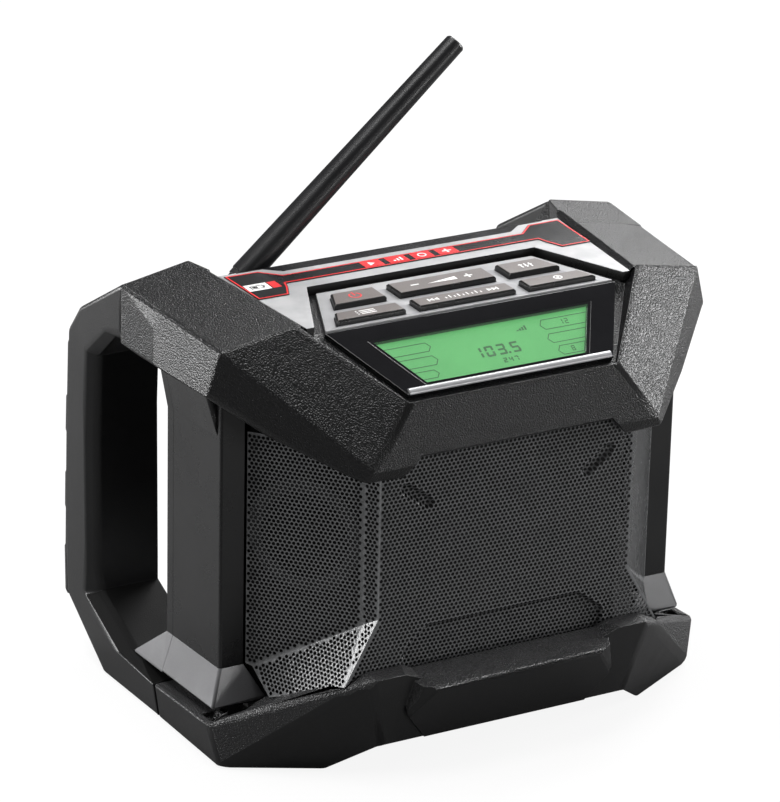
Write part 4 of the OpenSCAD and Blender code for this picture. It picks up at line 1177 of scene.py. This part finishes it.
printed("display_signs", signs, on_display(SIGN_DEPTH), segment_ink, thick=0.05)

window = [(-61.5, 10), (61.5, 10), (44.5, 41.5), (-44.5, 41.5)]
cover_ring = window, inset(window, RING_WIDE)
printed("display_mask", [cover_ring], on_display(RING_DEPTH), FINISH["bezel_gloss"], thick=0.05)
print("display signs", len(signs))

# %% [markdown]
# ### Lower edge of the bezel, with a painted reflection
# A slim strip closes the bezel below. Its section is half of a flat ellipse, swept along the edge ring by
# ring, so the light runs along it in one line. Its pale silver colour is a painted reflection of the light
# that the bezel's rounded lower edge mirrors.

# %% Lower edge of the bezel with a painted reflection
# Painted reflection: the strip's pale metal colour stands in for light mirrored by the bezel's lower edge.
reflection_strip_finish = finish("bezel_edge_reflection", (0.36, 0.36, 0.37), 0.38, 0.05, 3000.0, 0.00001, metallic=0.5, pits=0.05)
TRIM_HALF, TRIM_V, TRIM_R, TRIM_FLATNESS = 55.2, 43.7, 1.9, 0.75
TRIM_STEPS, TRIM_ARC, TRIM_CREASE = 24, 8, 50
trim_place = on_display(-0.1)
trim = bmesh.new()
angles = [math.pi * i / TRIM_ARC for i in range(TRIM_ARC + 1)]
profile = [(TRIM_R * math.cos(a), TRIM_FLATNESS * TRIM_R * max(0, math.sin(a))) for a in angles]
rings = []
for i in range(TRIM_STEPS + 1):
    u = -TRIM_HALF + 2 * TRIM_HALF * i / TRIM_STEPS
    rings.append([trim.verts.new(trim_place(u, TRIM_V + v, h)) for v, h in profile])
for one, two in zip(rings, rings[1:]):
    for j in range(len(profile)):
        k = (j + 1) % len(profile)
        trim.faces.new((one[j], one[k], two[k], two[j]))
trim.faces.new(rings[0])
trim.faces.new(rings[-1][::-1])
bmesh.ops.recalc_face_normals(trim, faces=trim.faces)
shade(trim, TRIM_CREASE)
keep("bezel_edge_reflection", trim, body="radio", slot="bezel_gloss", material=reflection_strip_finish)
print("bezel edge", 2 * TRIM_HALF, "mm long")

# %% [markdown]
# ## Perforated grille
# The grille is one pressed sheet with round holes in a triangular pattern, 2.3
# millimetres apart. Cutting thousands of holes with booleans would be slow, so
# the sheet is built from cells instead: each flat part of it is paved with
# hexagons, and a hexagon with a hole has a smaller, turned hexagon inside it.
# Points that fall outside a part are pulled back onto its edge. The walls of the holes have a near-black
# finish, painted shade for the dark inside of the holes.

# %% Cells and outlines
PITCH, HOLE, SHEET_T, RIM = 2.3, 0.97, 0.6, 0.12


def hexagon(radius, first):
    spots = [math.radians(60 * k + first) for k in range(6)]
    return [(radius * math.cos(a), radius * math.sin(a)) for a in spots]


HEX, HOLE_HEX = hexagon(1, 30), hexagon(HOLE, 0)


def inside(point, outline):
    hit = False
    for (ax, ay), (bx, by) in zip(outline, outline[1:] + outline[:1]):
        if (ay > point[1]) != (by > point[1]) and point[0] < (bx - ax) * (point[1] - ay) / (by - ay) + ax:
            hit = not hit
    return hit


def nearest(point, outline):
    """The closest point on an outline, and its distance."""
    best = None
    for (ax, ay), (bx, by) in zip(outline, outline[1:] + outline[:1]):
        dx, dy = bx - ax, by - ay
        t = max(0, min(1, ((point[0] - ax) * dx + (point[1] - ay) * dy) / (dx * dx + dy * dy)))
        spot = (ax + t * dx, ay + t * dy)
        far = math.dist(spot, point)
        if best is None or far < best[1]:
            best = (spot, far)
    return best


print("holes", 2 * HOLE, "mm wide,", PITCH, "mm apart")

# %% [markdown]
# ### Press marks and twist
# A press marks the middle of the sheet, so those points move back by a depth
# that depends on their place: a shallow field at the foot and a short slanted
# bar near each upper corner. The lower wings have four corners that don't lie
# in one plane, so their height is found from where a point lies between them.

# %% Press marks and twist
PRESS_DEPTH, SLOPE_WIDE = 2.2, 1.6
FIELD_TOP, FIELD_HALF, FIELD_CORNER, CORNER_DROP = 75, 56, 42, 11 / 14
BAR_U, BAR_Z, BAR_RUN, BAR_RISE, BAR_HALF = 44, 139, 12, 9, 3.2


def held(share):
    return max(0, min(1, share))


def pressed(x, z):
    """How far the middle of the sheet is pressed back at a place."""
    u, depth = abs(x), 0.0
    low_edge = FIELD_TOP if u < FIELD_CORNER else FIELD_TOP - (u - FIELD_CORNER) * CORNER_DROP
    if u < FIELD_HALF:
        depth = held((low_edge - z) / SLOPE_WIDE) * held((FIELD_HALF - u) / SLOPE_WIDE)
    run = BAR_RUN ** 2 + BAR_RISE ** 2
    along = held(((u - BAR_U) * BAR_RUN + (z - BAR_Z) * BAR_RISE) / run)
    far = math.hypot(u - BAR_U - BAR_RUN * along, z - BAR_Z - BAR_RISE * along)
    return PRESS_DEPTH * max(depth, held((BAR_HALF - far) / SLOPE_WIDE))


def lift(u, v, quad, heights):
    """The height of a twisted panel over a plane, from where u, v lies between its four corners."""
    a, b, c, d = (Vector(q) for q in quad)
    s = t = 0.5
    for _ in range(6):
        miss = a * (1 - s) * (1 - t) + b * s * (1 - t) + c * s * t + d * (1 - s) * t - Vector((u, v))
        ds = (b - a) * (1 - t) + (c - d) * t
        dt = (d - a) * (1 - s) + (c - b) * s
        det = ds.x * dt.y - ds.y * dt.x
        s -= (miss.x * dt.y - miss.y * dt.x) / det
        t -= (ds.x * miss.y - ds.y * miss.x) / det
    h = heights
    return h[0] * (1 - s) * (1 - t) + h[1] * s * (1 - t) + h[2] * s * t + h[3] * (1 - s) * t


print("deepest press mark", PRESS_DEPTH, "mm")

# %% [markdown]
# ### The plane and its cells
# A part is given by its corners. We lay a plane through them, with one
# direction across, one along and one outwards. Then we walk over it in rows,
# where every second row is shifted by half a cell, as in a honeycomb.

# %% Planes and cells
TWIST_SEEN = 0.1


def plane_of(spots):
    """Whether four corners are twisted, and the plane's across, along and outward directions."""
    normal = (spots[1] - spots[0]).cross(spots[-1] - spots[0]).normalized()
    twisted = len(spots) == 4 and abs((spots[2] - spots[0]).dot(normal)) > TWIST_SEEN
    if twisted:
        normal = (spots[2] - spots[0]).cross(spots[3] - spots[1]).normalized()
    if normal.y > 0:
        normal = -normal
    sideways = Vector((0, 0, 1)).cross(-normal).normalized() * -1
    return twisted, sideways, normal.cross(sideways), normal


def cell_centres(outline):
    """The middles of the hexagons that may touch an outline, row by row."""
    row_step = PITCH * math.sqrt(3) / 2
    low_u, high_u = min(q[0] for q in outline), max(q[0] for q in outline)
    low_v, high_v = min(q[1] for q in outline), max(q[1] for q in outline)
    for row in range(int(low_v / row_step) - 1, int(high_v / row_step) + 2):
        for column in range(int(low_u / PITCH) - 2, int(high_u / PITCH) + 2):
            yield (column + 0.5 * (row % 2)) * PITCH, row * row_step


print("cells in a square of 10 mm:", len(list(cell_centres(box(0, 0, 10, 10)))))

# %% [markdown]
# ### Paving
# Each cell gets its front, its back and the wall of its hole. Points are shared
# between neighbours by their rounded place, and an edge that only one cell
# used is the rim of the part, which gets a side wall.

# %% Paving


def pave(data, corners, press=None):
    """Adds one part of the sheet, paved with cells, to data. A part with four corners may be twisted."""
    origin = at(*corners[0])
    spots = [(at(*c) - origin) / MM for c in corners]
    twisted, across, along, normal = plane_of(spots)
    outline = [(q.dot(across), q.dot(along)) for q in spots]
    heights = [q.dot(normal) for q in spots]
    seen, used = {}, {}

    def corner(u, v, layer):
        key = (round(u, 2), round(v, 2), layer)
        if key not in seen:
            point = origin / MM + across * u + along * v - normal * (SHEET_T * layer)
            if twisted:
                point += normal * lift(u, v, outline, heights)
            if press:
                point -= normal * press(point.x, point.z)
            seen[key] = data.verts.new(point * MM)
        return seen[key]

    def add(points, material=0):
        unique = list(dict.fromkeys(points))
        if len(unique) > 2:
            try:
                data.faces.new(unique).material_index = material
            except ValueError:
                pass

    size, holes = PITCH / math.sqrt(3), 0
    for centre in cell_centres(outline):
        ring = [(centre[0] + size * a, centre[1] + size * b) for a, b in HEX]
        within = [inside(q, outline) for q in ring]
        if not any(within):
            continue
        ring = [q if ok else nearest(q, outline)[0] for q, ok in zip(ring, within)]
        open_cell = inside(centre, outline) and nearest(centre, outline)[1] > HOLE + RIM
        front, back = ([corner(*q, layer) for q in ring] for layer in (0, 1))
        for k in range(6):
            side = frozenset((front[k - 1], front[k]))
            wall = front[k - 1], front[k], back[k], back[k - 1]
            used[side] = None if side in used else wall
        if not open_cell:
            add(front)
            add(back[::-1])
            continue
        holes += 1
        rim, rim_back = ([corner(centre[0] + a, centre[1] + b, layer) for a, b in HOLE_HEX]
                         for layer in (0, 1))
        for k in range(6):
            n = (k + 1) % 6
            add((front[k - 1], front[k], rim[k]))
            add((front[k], rim[n], rim[k]))
            add((back[k - 1], rim_back[k], back[k]))
            add((back[k], rim_back[k], rim_back[n]))
            add((rim[k], rim[n], rim_back[n], rim_back[k]), 1)
    for quad in used.values():
        if quad:
            add(quad)
    return holes


print("paving ready")

# %% [markdown]
# ### The folded sheet
# Beside its flat middle the sheet folds back sharply, then runs out to the
# case in one broad side panel. At its foot it comes forward again as a
# twisted wing that stands on the bumper's ridge. The corners below are shared
# by neighbouring parts, so the folds stay closed.

# %% The folded sheet
TOP, HALF, FOLD_Z = 168.5, 69.8, 83
fold_top, fold_end = (HALF, 18, TOP), (HALF, 18, FOLD_Z)
deep_top, deep_end = (74.4, 25.4, TOP), (74.4, 25.4, FOLD_Z - 5)
rim_top, rim_end = (113.7, 70.3, TOP), (113.7, 70.3, 47)
side_low, foot, spread = (111.34, 67.6, 46), (108, 56, 33.5), (88, 18, 50)
side_parts = [(fold_top, fold_end, deep_end, deep_top), (deep_top, deep_end, side_low, rim_end, rim_top),
              (fold_end, spread, deep_end), (deep_end, spread, foot, side_low)]


def other_side(part):
    return [(-x, d, z) for x, d, z in reversed(part)]


middle = other_side([spread, fold_end, fold_top]) + [spread, fold_end, fold_top]
sheets = {"grille_middle": [middle],
          "grille_side_right": side_parts, "grille_side_left": [other_side(part) for part in side_parts]}
for name, parts in sheets.items():
    data = bmesh.new()
    holes = sum(pave(data, part, pressed if name == "grille_middle" else None) for part in parts)
    bmesh.ops.recalc_face_normals(data, faces=data.faces)
    piece = keep(name, data, "grille")
    piece.data.materials.append(FINISH["hole_wall"])
    print(name, holes, "holes,", len(piece.data.polygons), "faces")
